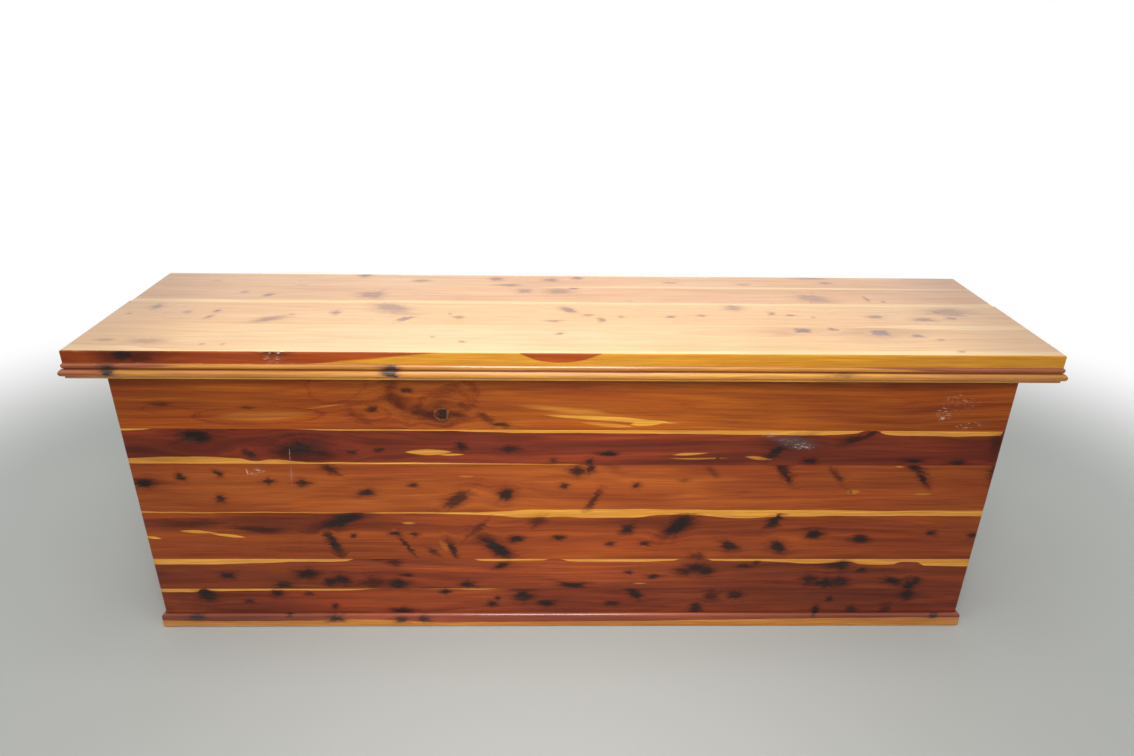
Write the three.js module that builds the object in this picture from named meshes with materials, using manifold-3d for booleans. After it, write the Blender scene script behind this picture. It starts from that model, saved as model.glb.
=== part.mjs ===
import * as THREE from 'three';
import { mergeVertices } from 'three/addons/utils/BufferGeometryUtils.js';
import Module from 'manifold-3d';

const wasm = await Module();
wasm.setup();

// A long blanket chest of edge-glued cedar planks, in millimetres.
// X runs along the chest, Y from the front to the back and Z up.
// The origin lies on the floor, in the middle of the chest's overall box.

// Overall sizes
const lidLength = 1830;
const lidDepth = 457;
const bodyHeight = 650;
const lidThickness = 25;
const plankThickness = 20;

// How far the lid reaches past the body
const endOverhang = 45;
const frontOverhang = 45;
const rearOverhang = 30;

// Glue lines, seats and cutting room
const glueGap = 0.3;
const seatGap = 0.3;
const overrun = 10;

// Edges worked round with a plane and sandpaper
const lidEdgeRadius = 3;
const cornerRadius = 5;
const postChamfer = 8;
const arcSteps = 6;

// The rear half of the lid was glued up a little shorter than the front half
const rearPanelSetback = 3.5;

// Plank widths, each panel adding up to one: lid from the front, walls from the floor
const lidPlankShares = [0.3, 0.282, 0.225, 0.193];
const frontPlanksInLid = 2;
const frontPlankShares = [0.1554, 0.1215, 0.1803, 0.1782, 0.1212, 0.2434];
const backPlankShares = [0.21, 0.17, 0.23, 0.18, 0.21];
const leftEndPlankShares = [0.18, 0.22, 0.17, 0.2, 0.23];
const rightEndPlankShares = [0.2, 0.18, 0.23, 0.17, 0.22];

// Moulding under the rim of the lid: a small bead, a quirk, a bullnose and a fillet
const mouldingWidth = 40;
const beadHeight = 9.5;
const beadProud = 3.2;
const quirkHeight = 1;
const bullnoseHeight = 14.5;
const bullnoseProud = 8.5;
const filletHeight = 4.5;
const filletProud = 1;

// Moulding round the foot of the body
const baseHeight = 35;
const baseThickness = 6.5;
const baseTopRadius = 6;
const baseBottomRadius = 5;

// Bottom of the chest and what it lies on
const bottomThickness = 16;
const bottomPlankShares = [0.34, 0.31, 0.35];
const cleatHeight = 25;
const cleatThickness = 20;
const cleatLift = 10;
const crossBattenWidth = 45;
const crossBattenShares = [-0.17, 0.17];

// Glue posts in the corners, which stand on the bottom
const postWidth = 36;
const postDrop = 30;

// Battens that keep the lid flat
const lidBattenWidth = 60;
const lidBattenThickness = 19;
const lidBattenClearance = 20;
const lidBattenSlope = 10;
const lidBattenShares = [-0.3, 0, 0.3];

// Butt hinges, let into the top of the back
const hingeShares = [-0.37, 0, 0.37];
const hingeLength = 76;
const leafThickness = 1.8;
const leafGap = 0.6;
const knuckleRadius = 4.2;
const knuckleCount = 5;
const knuckleGap = 0.3;
const knuckleClearance = 0.5;
const mortiseLip = 2.7;
const pinRadius = 2;
const pinClearance = 0.1;
const pinHeadRadius = 3;
const pinHeadLength = 1.2;
const roundSteps = 32;

// Places worked out from the sizes above
const mouldingHeight = beadHeight + quirkHeight + bullnoseHeight + filletHeight;
const overallDepth = lidDepth + bullnoseProud;
const lidFront = bullnoseProud - overallDepth / 2;
const lidBack = lidFront + lidDepth;
const lidUnderside = bodyHeight + seatGap;
const bodyLength = lidLength - 2 * endOverhang;
const bodyFront = lidFront + frontOverhang;
const bodyBack = lidBack - rearOverhang;
const bodyDepth = bodyBack - bodyFront;
const bodyMiddle = (bodyFront + bodyBack) / 2;
const innerLength = bodyLength - 2 * plankThickness;
const innerDepth = bodyDepth - 2 * plankThickness;
const cleatTop = cleatLift + cleatHeight;
const bottomTop = cleatTop + glueGap + bottomThickness;
const pinY = bodyBack + knuckleRadius + knuckleClearance;
const pinZ = lidUnderside - seatGap - leafThickness - leafGap / 2;
const mortiseDepth = bodyHeight - pinZ + leafGap / 2 + leafThickness + seatGap;

const up = new THREE.Vector3(0, 0, 1);

// Finishes
const finishes = {
  wallCedar: { color: 0x96502a, roughness: 0.38, metalness: 0 },
  lidCedar: { color: 0xd9a878, roughness: 0.35, metalness: 0 },
  mouldingCedar: { color: 0xb9743c, roughness: 0.38, metalness: 0 },
  innerCedar: { color: 0xc08a5c, roughness: 0.7, metalness: 0 },
  brass: { color: 0xb08d57, roughness: 0.35, metalness: 1 },
};

function named(name, geometry, finish) {
  const mesh = new THREE.Mesh(geometry, new THREE.MeshStandardMaterial(finishes[finish]));
  mesh.name = name;
  return mesh;
}

function placed(mesh, x, y, z) {
  mesh.position.set(x, y, z);
  return mesh;
}

// Turns a closed geometry into a solid that can be cut and joined
function solidOf(geometry) {
  const bare = geometry.clone();
  bare.deleteAttribute('normal');
  bare.deleteAttribute('uv');
  const merged = mergeVertices(bare);
  const mesh = new wasm.Mesh({
    numProp: 3,
    vertProperties: new Float32Array(merged.attributes.position.array),
    triVerts: new Uint32Array(merged.index.array),
  });
  return new wasm.Manifold(mesh);
}

function geometryOf(solid) {
  const mesh = solid.getMesh();
  const geometry = new THREE.BufferGeometry();
  geometry.setAttribute('position', new THREE.BufferAttribute(mesh.vertProperties, 3));
  geometry.setIndex(new THREE.BufferAttribute(mesh.triVerts, 1));
  geometry.computeVertexNormals();
  return geometry;
}

// A block between two corners
function blockBetween(low, high) {
  const size = high.map((value, i) => value - low[i]);
  const block = new THREE.BoxGeometry(...size);
  block.translate(...low.map((value, i) => value + size[i] / 2));
  return block;
}

// An outline in plan, raised from z = 0
function raised(shape, height) {
  return new THREE.ExtrudeGeometry(shape, {
    depth: height,
    bevelEnabled: false,
    curveSegments: arcSteps,
  });
}

// A section run along a level line: its x faces outward, its y up, and its run is centred
function runOf(section, length, outward) {
  const run = raised(section, length);
  run.translate(0, 0, -length / 2);
  const along = new THREE.Vector3().crossVectors(outward, up);
  run.applyMatrix4(new THREE.Matrix4().makeBasis(outward, up, along));
  return run;
}

// A rod along X, centred on its middle
function rodAlongX(radius, length) {
  const rod = new THREE.CylinderGeometry(radius, radius, length, roundSteps);
  rod.rotateZ(Math.PI / 2);
  return rod;
}

// Splits a width into planks with a glue line between neighbours
function plankSpans(width, shares) {
  const room = width - glueGap * (shares.length - 1);
  const total = shares.reduce((sum, share) => sum + share, 0);
  let start = 0;
  return shares.map((share) => {
    const size = (room * share) / total;
    const span = { start, size, middle: start + size / 2 };
    start += size + glueGap;
    return span;
  });
}

// Front and back walls: full-length planks whose outer corners are rounded in plan
function wallPlankOutline() {
  const half = bodyLength / 2;
  const turn = Math.PI / 2;
  const outline = new THREE.Shape();
  outline.moveTo(half, plankThickness);
  outline.lineTo(-half, plankThickness);
  outline.absarc(-half + cornerRadius, cornerRadius, cornerRadius, 2 * turn, 3 * turn);
  outline.absarc(half - cornerRadius, cornerRadius, cornerRadius, 3 * turn, 4 * turn);
  return outline;
}

// The front wall has its round corners at the front, and the back wall is turned about
function wall(prefix, shares, front) {
  const group = new THREE.Group();
  const outline = wallPlankOutline();
  plankSpans(bodyHeight, shares).forEach((span, i) => {
    const plank = named(`${prefix}_plank_${i + 1}`, raised(outline, span.size), 'wallCedar');
    if (!front && i === shares.length - 1) {
      cutHingeMortises(plank, span.size);
    }
    group.add(placed(plank, 0, 0, span.start));
  });
  group.position.y = front ? bodyFront : bodyBack;
  group.rotation.z = front ? 0 : Math.PI;
  return group;
}

// Mortises for the hinge leaves in the top plank of the back, whose local x runs from right to left
function cutHingeMortises(plank, height) {
  const reach = plankThickness - mortiseLip;
  const half = hingeLength / 2 + seatGap;
  let solid = solidOf(plank.geometry);
  for (const share of hingeShares) {
    const x = -share * bodyLength;
    const low = [x - half, -overrun, height - mortiseDepth];
    const high = [x + half, reach, height + overrun];
    solid = solid.subtract(solidOf(blockBetween(low, high)));
  }
  plank.geometry = geometryOf(solid);
}

// End walls, which stand between the front and the back
function endWall(prefix, shares, side) {
  const group = new THREE.Group();
  const depth = innerDepth - 2 * glueGap;
  for (const [i, span] of plankSpans(bodyHeight, shares).entries()) {
    const board = new THREE.BoxGeometry(plankThickness, depth, span.size);
    const plank = named(`${prefix}_plank_${i + 1}`, board, 'wallCedar');
    group.add(placed(plank, 0, 0, span.middle));
  }
  group.position.set((side * (bodyLength - plankThickness)) / 2, bodyMiddle, 0);
  return group;
}

// Posts in the corners, each with its inner edge planed off
function cornerPosts() {
  const group = new THREE.Group();
  const foot = bottomTop + seatGap;
  const height = bodyHeight - postDrop - foot;
  const outline = new THREE.Shape();
  outline.moveTo(0, 0);
  outline.lineTo(postWidth, 0);
  outline.lineTo(postWidth, postWidth - postChamfer);
  outline.lineTo(postWidth - postChamfer, postWidth);
  outline.lineTo(0, postWidth);
  const corners = [
    ['front_left', -1, -1, 0],
    ['front_right', 1, -1, 1],
    ['back_right', 1, 1, 2],
    ['back_left', -1, 1, 3],
  ];
  for (const [place, sideX, sideY, quarters] of corners) {
    const post = named(`corner_post_${place}`, raised(outline, height), 'innerCedar');
    const x = sideX * (innerLength / 2 - glueGap);
    const y = bodyMiddle + sideY * (innerDepth / 2 - glueGap);
    post.rotation.z = (quarters * Math.PI) / 2;
    group.add(placed(post, x, y, foot));
  }
  return group;
}

// Cleats round the inside of the foot, with two battens across the middle
function bottomFrame() {
  const group = new THREE.Group();
  const z = cleatLift + cleatHeight / 2;
  const longRun = innerLength - 2 * glueGap;
  const crossRun = innerDepth - 2 * cleatThickness - 4 * glueGap;
  const longY = innerDepth / 2 - glueGap - cleatThickness / 2;
  const endX = innerLength / 2 - glueGap - cleatThickness / 2;
  for (const [place, side] of [['front', -1], ['back', 1]]) {
    const cleat = new THREE.BoxGeometry(longRun, cleatThickness, cleatHeight);
    group.add(placed(named(`bottom_cleat_${place}`, cleat, 'innerCedar'), 0, side * longY, z));
  }
  for (const [place, side] of [['left', -1], ['right', 1]]) {
    const cleat = new THREE.BoxGeometry(cleatThickness, crossRun, cleatHeight);
    group.add(placed(named(`bottom_cleat_${place}`, cleat, 'innerCedar'), side * endX, 0, z));
  }
  crossBattenShares.forEach((share, i) => {
    const batten = new THREE.BoxGeometry(crossBattenWidth, crossRun, cleatHeight);
    const mesh = named(`bottom_batten_${i + 1}`, batten, 'innerCedar');
    group.add(placed(mesh, share * innerLength, 0, z));
  });
  group.position.y = bodyMiddle;
  return group;
}

function bottomPlanks() {
  const group = new THREE.Group();
  const width = innerDepth - 2 * glueGap;
  const length = innerLength - 2 * glueGap;
  plankSpans(width, bottomPlankShares).forEach((span, i) => {
    const board = new THREE.BoxGeometry(length, span.size, bottomThickness);
    const mesh = named(`bottom_plank_${i + 1}`, board, 'innerCedar');
    group.add(placed(mesh, 0, span.middle, 0));
  });
  group.position.set(0, bodyMiddle - width / 2, bottomTop - bottomThickness / 2);
  return group;
}

// Plan of a strip in front, mitred at both ends, from its outer face inward
function frontStripPlan(outerX, outerY, width) {
  const trim = glueGap * Math.SQRT1_2;
  const plan = new THREE.Shape();
  plan.moveTo(-outerX + trim, outerY);
  plan.lineTo(outerX - trim, outerY);
  plan.lineTo(outerX - width - trim, outerY + width);
  plan.lineTo(-outerX + width + trim, outerY + width);
  return plan;
}

// Plan of a strip at the right-hand end, mitred at the front only
function endStripPlan(outerX, outerY, width, rear) {
  const trim = glueGap * Math.SQRT1_2;
  const plan = new THREE.Shape();
  plan.moveTo(outerX, outerY + trim);
  plan.lineTo(outerX, rear);
  plan.lineTo(outerX - width, rear);
  plan.lineTo(outerX - width, outerY + width + trim);
  return plan;
}

// A strip round the front and both ends, as three mitred pieces of one section.
// The section's x is nought at its outer face, and its y is height above the strip's foot.
function mitredStrip(prefix, section, { outerX, outerY, width, height, rear, finish }) {
  const group = new THREE.Group();
  const length = 2 * outerX + 2 * overrun;
  const room = height + 2 * overrun;
  const pieces = [
    ['front', new THREE.Vector3(0, -1, 0), 0, outerY, frontStripPlan(outerX, outerY, width), 1],
    ['right', new THREE.Vector3(1, 0, 0), outerX, 0, endStripPlan(outerX, outerY, width, rear), 1],
    ['left', new THREE.Vector3(-1, 0, 0), -outerX, 0, endStripPlan(outerX, outerY, width, rear), -1],
  ];
  for (const [place, outward, x, y, plan, side] of pieces) {
    const run = runOf(section, length, outward);
    run.translate(x, y, 0);
    const cutter = raised(plan, room);
    cutter.translate(0, 0, -overrun);
    if (side < 0) cutter.rotateY(Math.PI).translate(0, 0, height);
    const piece = solidOf(run).intersect(solidOf(cutter));
    group.add(named(`${prefix}_${place}`, geometryOf(piece), finish));
  }
  return group;
}

// Foot moulding, rounded at its top and bottom edges
function baseMoulding() {
  const turn = Math.PI / 2;
  const inner = glueGap - baseThickness;
  const section = new THREE.Shape();
  section.moveTo(inner, 0);
  section.absarc(-baseBottomRadius, baseBottomRadius, baseBottomRadius, 3 * turn, 4 * turn);
  section.absarc(-baseTopRadius, baseHeight - baseTopRadius, baseTopRadius, 0, turn);
  section.lineTo(inner, baseHeight);
  return mitredStrip('base_moulding', section, {
    outerX: bodyLength / 2 + baseThickness,
    outerY: bodyFront - baseThickness,
    width: baseThickness,
    height: baseHeight,
    rear: bodyBack,
    finish: 'mouldingCedar',
  });
}

// Moulding glued under the rim of the lid, measured down from the underside
function lidMoulding() {
  const turn = Math.PI / 2;
  const edge = -bullnoseProud;
  const inner = -mouldingWidth;
  const beadMiddle = mouldingHeight - beadHeight / 2;
  const noseMiddle = filletHeight + bullnoseHeight / 2;
  const noseTop = filletHeight + bullnoseHeight;
  const section = new THREE.Shape();
  section.moveTo(inner, 0);
  section.lineTo(edge + filletProud, 0);
  section.lineTo(edge + filletProud, filletHeight);
  const nose = bullnoseProud - filletProud;
  section.absellipse(edge + filletProud, noseMiddle, nose, bullnoseHeight / 2, -turn, turn);
  section.lineTo(edge, noseTop);
  section.lineTo(edge, noseTop + quirkHeight);
  section.absellipse(edge, beadMiddle, beadProud, beadHeight / 2, -turn, turn);
  section.lineTo(inner, mouldingHeight);
  const strip = mitredStrip('lid_moulding', section, {
    outerX: lidLength / 2 + bullnoseProud,
    outerY: lidFront - bullnoseProud,
    width: mouldingWidth,
    height: mouldingHeight,
    rear: lidBack,
    finish: 'mouldingCedar',
  });
  strip.position.z = lidUnderside - glueGap - mouldingHeight;
  return strip;
}

// A slab whose top edges are rounded; its lower rounding lies below z = 0, to be cut off
function roundedSlab(length, depth) {
  const outline = new THREE.Shape();
  outline.moveTo(-length / 2, 0);
  outline.lineTo(length / 2, 0);
  outline.lineTo(length / 2, depth);
  outline.lineTo(-length / 2, depth);
  const slab = new THREE.ExtrudeGeometry(outline, {
    depth: lidThickness,
    bevelThickness: lidEdgeRadius,
    bevelSize: lidEdgeRadius,
    bevelOffset: -lidEdgeRadius,
    bevelSegments: arcSteps / 2,
  });
  slab.translate(0, 0, -lidEdgeRadius);
  return slab;
}

// Lid planks, cut from a long slab in front and a slightly shorter one behind
function lidPlanks() {
  const group = new THREE.Group();
  const half = lidLength / 2 + overrun;
  plankSpans(lidDepth, lidPlankShares).forEach((span, i) => {
    const setback = i < frontPlanksInLid ? 0 : rearPanelSetback;
    const slab = solidOf(roundedSlab(lidLength - 2 * setback, lidDepth));
    const region = blockBetween([-half, span.start, 0], [half, span.start + span.size, lidThickness]);
    let plank = slab.intersect(solidOf(region));
    if (i === lidPlankShares.length - 1) {
      plank = cutKnuckleGrooves(plank);
    }
    group.add(named(`lid_plank_${i + 1}`, geometryOf(plank), 'lidCedar'));
  });
  group.position.set(0, lidFront, lidUnderside);
  return group;
}

// Hollows under the lid's rear overhang, round the hinge knuckles
function cutKnuckleGrooves(plank) {
  const length = hingeLength + 2 * (pinHeadLength + knuckleGap + knuckleClearance);
  let solid = plank;
  for (const share of hingeShares) {
    const groove = rodAlongX(knuckleRadius + knuckleClearance, length);
    groove.translate(share * bodyLength, pinY - lidFront, pinZ - lidUnderside);
    solid = solid.subtract(solidOf(groove));
  }
  return solid;
}

// Battens across the underside of the lid, sloped at their ends
function lidBattens() {
  const group = new THREE.Group();
  const half = innerDepth / 2 - lidBattenClearance;
  const section = new THREE.Shape();
  section.moveTo(-half + lidBattenSlope, 0);
  section.lineTo(half - lidBattenSlope, 0);
  section.lineTo(half, lidBattenSlope);
  section.lineTo(half, lidBattenThickness);
  section.lineTo(-half, lidBattenThickness);
  section.lineTo(-half, lidBattenSlope);
  const places = ['left', 'middle', 'right'];
  lidBattenShares.forEach((share, i) => {
    const run = runOf(section, lidBattenWidth, new THREE.Vector3(0, -1, 0));
    const mesh = named(`lid_batten_${places[i]}`, run, 'innerCedar');
    group.add(placed(mesh, share * innerLength, 0, 0));
  });
  group.position.set(0, bodyMiddle, lidUnderside - seatGap - lidBattenThickness);
  return group;
}

// Hinge parts, about a pin that lies along X through the origin
const knuckleLength = (hingeLength - knuckleGap * (knuckleCount - 1)) / knuckleCount;
const knucklePitch = knuckleLength + knuckleGap;

function knuckleMiddle(i) {
  return (i - (knuckleCount - 1) / 2) * knucklePitch;
}

// A leaf carries every second knuckle and is cut back round the others
function hingeLeaf(firstKnuckle, lowZ) {
  const reach = knuckleRadius + knuckleClearance + plankThickness - mortiseLip - seatGap;
  const half = hingeLength / 2;
  const plate = blockBetween([-half, -reach, lowZ], [half, 0, lowZ + leafThickness]);
  let leaf = solidOf(plate);
  for (let i = 1 - firstKnuckle; i < knuckleCount; i += 2) {
    const room = rodAlongX(knuckleRadius + knuckleClearance, knuckleLength + 2 * knuckleGap);
    room.translate(knuckleMiddle(i), 0, 0);
    leaf = leaf.subtract(solidOf(room));
  }
  for (let i = firstKnuckle; i < knuckleCount; i += 2) {
    const knuckle = rodAlongX(knuckleRadius, knuckleLength);
    knuckle.translate(knuckleMiddle(i), 0, 0);
    leaf = leaf.add(solidOf(knuckle));
  }
  const bore = rodAlongX(pinRadius + pinClearance, hingeLength + 2 * overrun);
  return leaf.subtract(solidOf(bore));
}

// A pin with a domed head at each end
function hingePin() {
  const shank = hingeLength / 2 + knuckleGap;
  const tip = shank + pinHeadLength;
  const profile = [
    new THREE.Vector2(0, -tip),
    new THREE.Vector2(pinRadius, -tip),
    new THREE.Vector2(pinHeadRadius, -shank - pinHeadLength / 2),
    new THREE.Vector2(pinHeadRadius, -shank),
    new THREE.Vector2(pinRadius, -shank),
    new THREE.Vector2(pinRadius, shank),
    new THREE.Vector2(pinHeadRadius, shank),
    new THREE.Vector2(pinHeadRadius, shank + pinHeadLength / 2),
    new THREE.Vector2(pinRadius, tip),
    new THREE.Vector2(0, tip),
  ];
  const pin = new THREE.LatheGeometry(profile, roundSteps);
  pin.rotateZ(-Math.PI / 2);
  return geometryOf(solidOf(pin));
}

function hinge(i) {
  const group = new THREE.Group();
  const fixed = geometryOf(hingeLeaf(0, -leafGap / 2 - leafThickness));
  const moving = geometryOf(hingeLeaf(1, leafGap / 2));
  group.add(named(`hinge_${i + 1}_body_leaf`, fixed, 'brass'));
  group.add(named(`hinge_${i + 1}_lid_leaf`, moving, 'brass'));
  group.add(named(`hinge_${i + 1}_pin`, hingePin(), 'brass'));
  group.position.set(hingeShares[i] * bodyLength, pinY, pinZ);
  return group;
}

// The whole chest
const chest = new THREE.Group();

chest.add(wall('front', frontPlankShares, true));
chest.add(wall('back', backPlankShares, false));
chest.add(endWall('left_end', leftEndPlankShares, -1));
chest.add(endWall('right_end', rightEndPlankShares, 1));
chest.add(cornerPosts());
chest.add(bottomFrame());
chest.add(bottomPlanks());
chest.add(baseMoulding());
chest.add(lidPlanks());
chest.add(lidBattens());
chest.add(lidMoulding());
hingeShares.forEach((share, i) => chest.add(hinge(i)));

export default chest;
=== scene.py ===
# %% [markdown]
# # A cedar blanket chest
# The chest is a long box of edge-glued cedar planks with a wide hinged lid. Its shape comes
# from the packed model and is not changed here. This lesson gives every plank its own
# knotty cedar, puts slotted screws in the hinges, and sets up a camera, a floor and lights.

# %% Load the packed model
import math
import random

import bmesh
import bpy
from mathutils import Matrix, Vector


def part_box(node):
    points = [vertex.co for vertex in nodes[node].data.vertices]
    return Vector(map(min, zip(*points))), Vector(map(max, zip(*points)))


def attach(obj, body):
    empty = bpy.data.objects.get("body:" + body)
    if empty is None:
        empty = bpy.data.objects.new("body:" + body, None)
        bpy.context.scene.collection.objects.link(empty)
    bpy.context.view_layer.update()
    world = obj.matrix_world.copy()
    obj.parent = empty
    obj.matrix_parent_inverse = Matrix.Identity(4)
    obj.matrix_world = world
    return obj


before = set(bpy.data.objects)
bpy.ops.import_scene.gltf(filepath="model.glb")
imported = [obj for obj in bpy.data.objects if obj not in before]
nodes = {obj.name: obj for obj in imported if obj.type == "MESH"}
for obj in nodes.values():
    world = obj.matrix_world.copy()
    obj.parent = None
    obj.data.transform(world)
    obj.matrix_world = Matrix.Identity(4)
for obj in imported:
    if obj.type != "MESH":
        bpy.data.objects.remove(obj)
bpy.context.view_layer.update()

print("pieces in the packed model:", len(nodes))

# %% [markdown]
# ## The camera
# The picture was taken by somebody standing in front of the chest and looking down on it.
# A wide lens, a little left of the middle, shows the lid as a narrow band above the front.
# The camera is turned first, then lifted to its place, so three plain rotations describe it.

# %% Place the camera
PICTURE_WIDTH = 1134
PICTURE_HEIGHT = 756
SENSOR_WIDTH = 36.0
FOCAL_PIXELS = 804.3
CAMERA_PLACE = Vector((-0.036, -1.5641, 1.2526))


def turned(yaw, pitch, roll):
    """The turn of a camera: yaw to the right, pitch down and roll, all in degrees."""
    return (
        Matrix.Rotation(-math.radians(yaw), 4, "Z")
        @ Matrix.Rotation(math.pi / 2 - math.radians(pitch), 4, "X")
        @ Matrix.Rotation(math.radians(roll), 4, "Z")
    )


def new_object(name, data):
    """An object made from its data and put in the scene."""
    thing = bpy.data.objects.new(name, data)
    bpy.context.scene.collection.objects.link(thing)
    return thing


camera_data = bpy.data.cameras.new("front_camera")
camera_data.sensor_width = SENSOR_WIDTH
camera_data.lens = SENSOR_WIDTH * FOCAL_PIXELS / PICTURE_WIDTH
camera = new_object("front_camera", camera_data)
camera_turn = turned(yaw=1.355, pitch=25.07, roll=0.856)
camera.matrix_world = Matrix.Translation(CAMERA_PLACE) @ camera_turn
bpy.context.scene.camera = camera
print("lens in millimetres:", round(camera_data.lens, 2))

# %% [markdown]
# ## From a place in the picture to a place on a board
# Knots are noted by where they sit in the picture. A line from the eye through that
# picture point meets the flat front, or the flat lid, in exactly one point, so every knot
# ends up on the wood itself and stays there from any side. The real lens bent straight
# edges outwards a little, which Blender's camera doesn't, so the marks are carried through
# an eye of their own that has the same bend. The bend is undone in a few small steps.

# %% Find a board point under a picture point
ON_FRONT = (1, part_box("front_plank_1")[0].y)
ON_LID = (2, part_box("lid_plank_1")[1].z)
ON_LID_EDGE = (1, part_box("lid_plank_1")[0].y)
ON_LID_MOULDING = (1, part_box("lid_moulding_front")[0].y)
ON_BASE_MOULDING = (1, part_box("base_moulding_front")[0].y)
EYE = Vector((-0.0348, -1.5036, 1.217))
EYE_FOCAL = 793.7
EYE_BEND = -0.085
BEND_STEPS = 8
eye_turn = turned(yaw=1.368, pitch=24.836, roll=0.857).to_3x3()


def picture_point(x, y, axis, level):
    """The point where the line through a picture point meets the plane axis = level."""
    bent = Vector((x - PICTURE_WIDTH / 2, PICTURE_HEIGHT / 2 - y)) / EYE_FOCAL
    straight = bent
    for _ in range(BEND_STEPS):
        straight = bent / (1 + EYE_BEND * straight.length_squared)
    line = eye_turn @ Vector((straight.x, straight.y, -1))
    return EYE + line * ((level - EYE[axis]) / line[axis])


print("front face at y =", round(ON_FRONT[1], 4), " lid top at z =", round(ON_LID[1], 4))

# %% [markdown]
# ## Short calls for shader nodes
# A shader is a net of small nodes. Each call below places one node, joins its inputs and
# hands back its output, so that a recipe reads from top to bottom like a sum. A value that
# is itself an output is joined with a link, and a plain number is written on the socket.
# Only the sockets that a node shows for its present settings are counted.

# %% Node helper
MIDDLE = (0.5, 0.5, 0.5)


class Net:
    """One node tree and the calls that add to it."""

    def __init__(self, tree):
        self.tree = tree

    def put(self, value, socket):
        if isinstance(value, bpy.types.NodeSocket):
            self.tree.links.new(value, socket)
        else:
            socket.default_value = value

    def fill(self, node, values):
        """Puts each value in the input of its name."""
        for name, value in values.items():
            self.put(value, node.inputs[name])
        return node.outputs

    def add(self, kind, *values, **settings):
        """Places a node, then sets it up, then puts the values in its inputs in order."""
        node = self.tree.nodes.new("ShaderNode" + kind)
        for name, setting in settings.items():
            setattr(node, name, setting)
        for value, socket in zip(values, [s for s in node.inputs if s.enabled]):
            self.put(value, socket)
        return node

    def first(self, kind, *values, **settings):
        """Places a node and gives its first output."""
        node = self.add(kind, *values, **settings)
        return next(s for s in node.outputs if s.enabled)

    def sum(self, operation, *values):
        return self.first("Math", *values, operation=operation)

    def vector(self, operation, *values):
        return self.first("VectorMath", *values, operation=operation)

    def noise(self, point, scale, detail=2.0, rough=0.6, output="Fac", **settings):
        return self.add("TexNoise", point, scale, detail, rough, **settings).outputs[output]

    def noise_line(self, place, scale, detail=2.0, rough=0.6):
        """Noise along one number instead of through space."""
        return self.noise(place, scale, detail, rough, noise_dimensions="1D")

    def streaks(self, point, stretch, detail=2.0, rough=0.6, output="Fac"):
        """Noise with a scale of its own along, through and across a board."""
        return self.noise(self.vector("MULTIPLY", point, stretch), 1.0, detail, rough, output)

    def pushed(self, point, colours, reach):
        """A point moved either way by a coloured noise, at most by half of reach."""
        push = self.vector("MULTIPLY", self.vector("SUBTRACT", colours, MIDDLE), reach)
        return self.vector("ADD", point, push)

    def fade(self, value, start, end, low=0.0, high=1.0):
        """Rises softly from low to high while value goes from start to end."""
        values = (value, start, end, low, high)
        return self.first("MapRange", *values, interpolation_type="SMOOTHSTEP")

    def blend(self, amount, first, second, mode="MIX"):
        return self.first("Mix", amount, first, second, data_type="RGBA", blend_type=mode)

    def tint(self, amount, base, tint):
        """The base colour multiplied by a tint, as far as amount says."""
        return self.blend(amount, base, tint, "MULTIPLY")

    def bump(self, height, strength, distance):
        values = {"Strength": strength, "Distance": distance, "Height": height}
        return self.fill(self.add("Bump"), values)[0]

    def use(self, group, values):
        """Places a node group and fills its inputs by name."""
        return self.fill(self.add("Group", node_tree=group), values)


print("calls for nodes:", sum(1 for name in vars(Net) if not name.startswith("_")))

# %% [markdown]
# A node group is a net with named sockets, built once and placed in each material with its
# own values. Colours are noted as a screen shows them, from 0 to 255, and made linear.

# %% Groups, materials and colours
VECTOR = "NodeSocketVector"
NUMBER = "NodeSocketFloat"
SCREEN_WHITE = 255
STRAIGHT_BELOW = 0.04045
STRAIGHT_SLOPE = 12.92
CURVE_SHIFT = 0.055
CURVE_POWER = 2.4


def new_group(name, takes, gives):
    """An empty node group, its net, its inputs by name, and the node that ends it."""
    group = bpy.data.node_groups.new(name, "ShaderNodeTree")
    for label, kind in takes.items():
        group.interface.new_socket(name=label, in_out="INPUT", socket_type=kind)
    for label, kind in gives.items():
        group.interface.new_socket(name=label, in_out="OUTPUT", socket_type=kind)
    start = group.nodes.new("NodeGroupInput")
    end = group.nodes.new("NodeGroupOutput")
    return group, Net(group), start.outputs, end


def new_material(name):
    """A material, its net and its main shader."""
    material = bpy.data.materials.new(name)
    material.use_nodes = True
    return material, Net(material.node_tree), material.node_tree.nodes["Principled BSDF"]


def made_linear(share):
    """The light that a screen gives off for a share of its brightest value."""
    if share <= STRAIGHT_BELOW:
        return share / STRAIGHT_SLOPE
    return ((share + CURVE_SHIFT) / (1 + CURVE_SHIFT)) ** CURVE_POWER


def colour(red, green, blue):
    """A colour as a screen shows it, made linear as the renderer wants it."""
    return (*[made_linear(value / SCREEN_WHITE) for value in (red, green, blue)], 1.0)


print("mid grey, linear:", round(colour(128, 128, 128)[0], 3))

# %% [markdown]
# ## Grain
# A plank is a slice of a trunk, so its grain is a solid pattern: rings round a pith line,
# cut open by the face. Board space is used for every plank: the first number runs along the
# board, the second through it and the third across it. Slow noise makes the pith wander,
# which draws the long ovals and arches of a flat-sawn face. Stretched noise adds broad
# darker streaks and fine fibres, and slow patches blush from orange to wine red.

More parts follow.
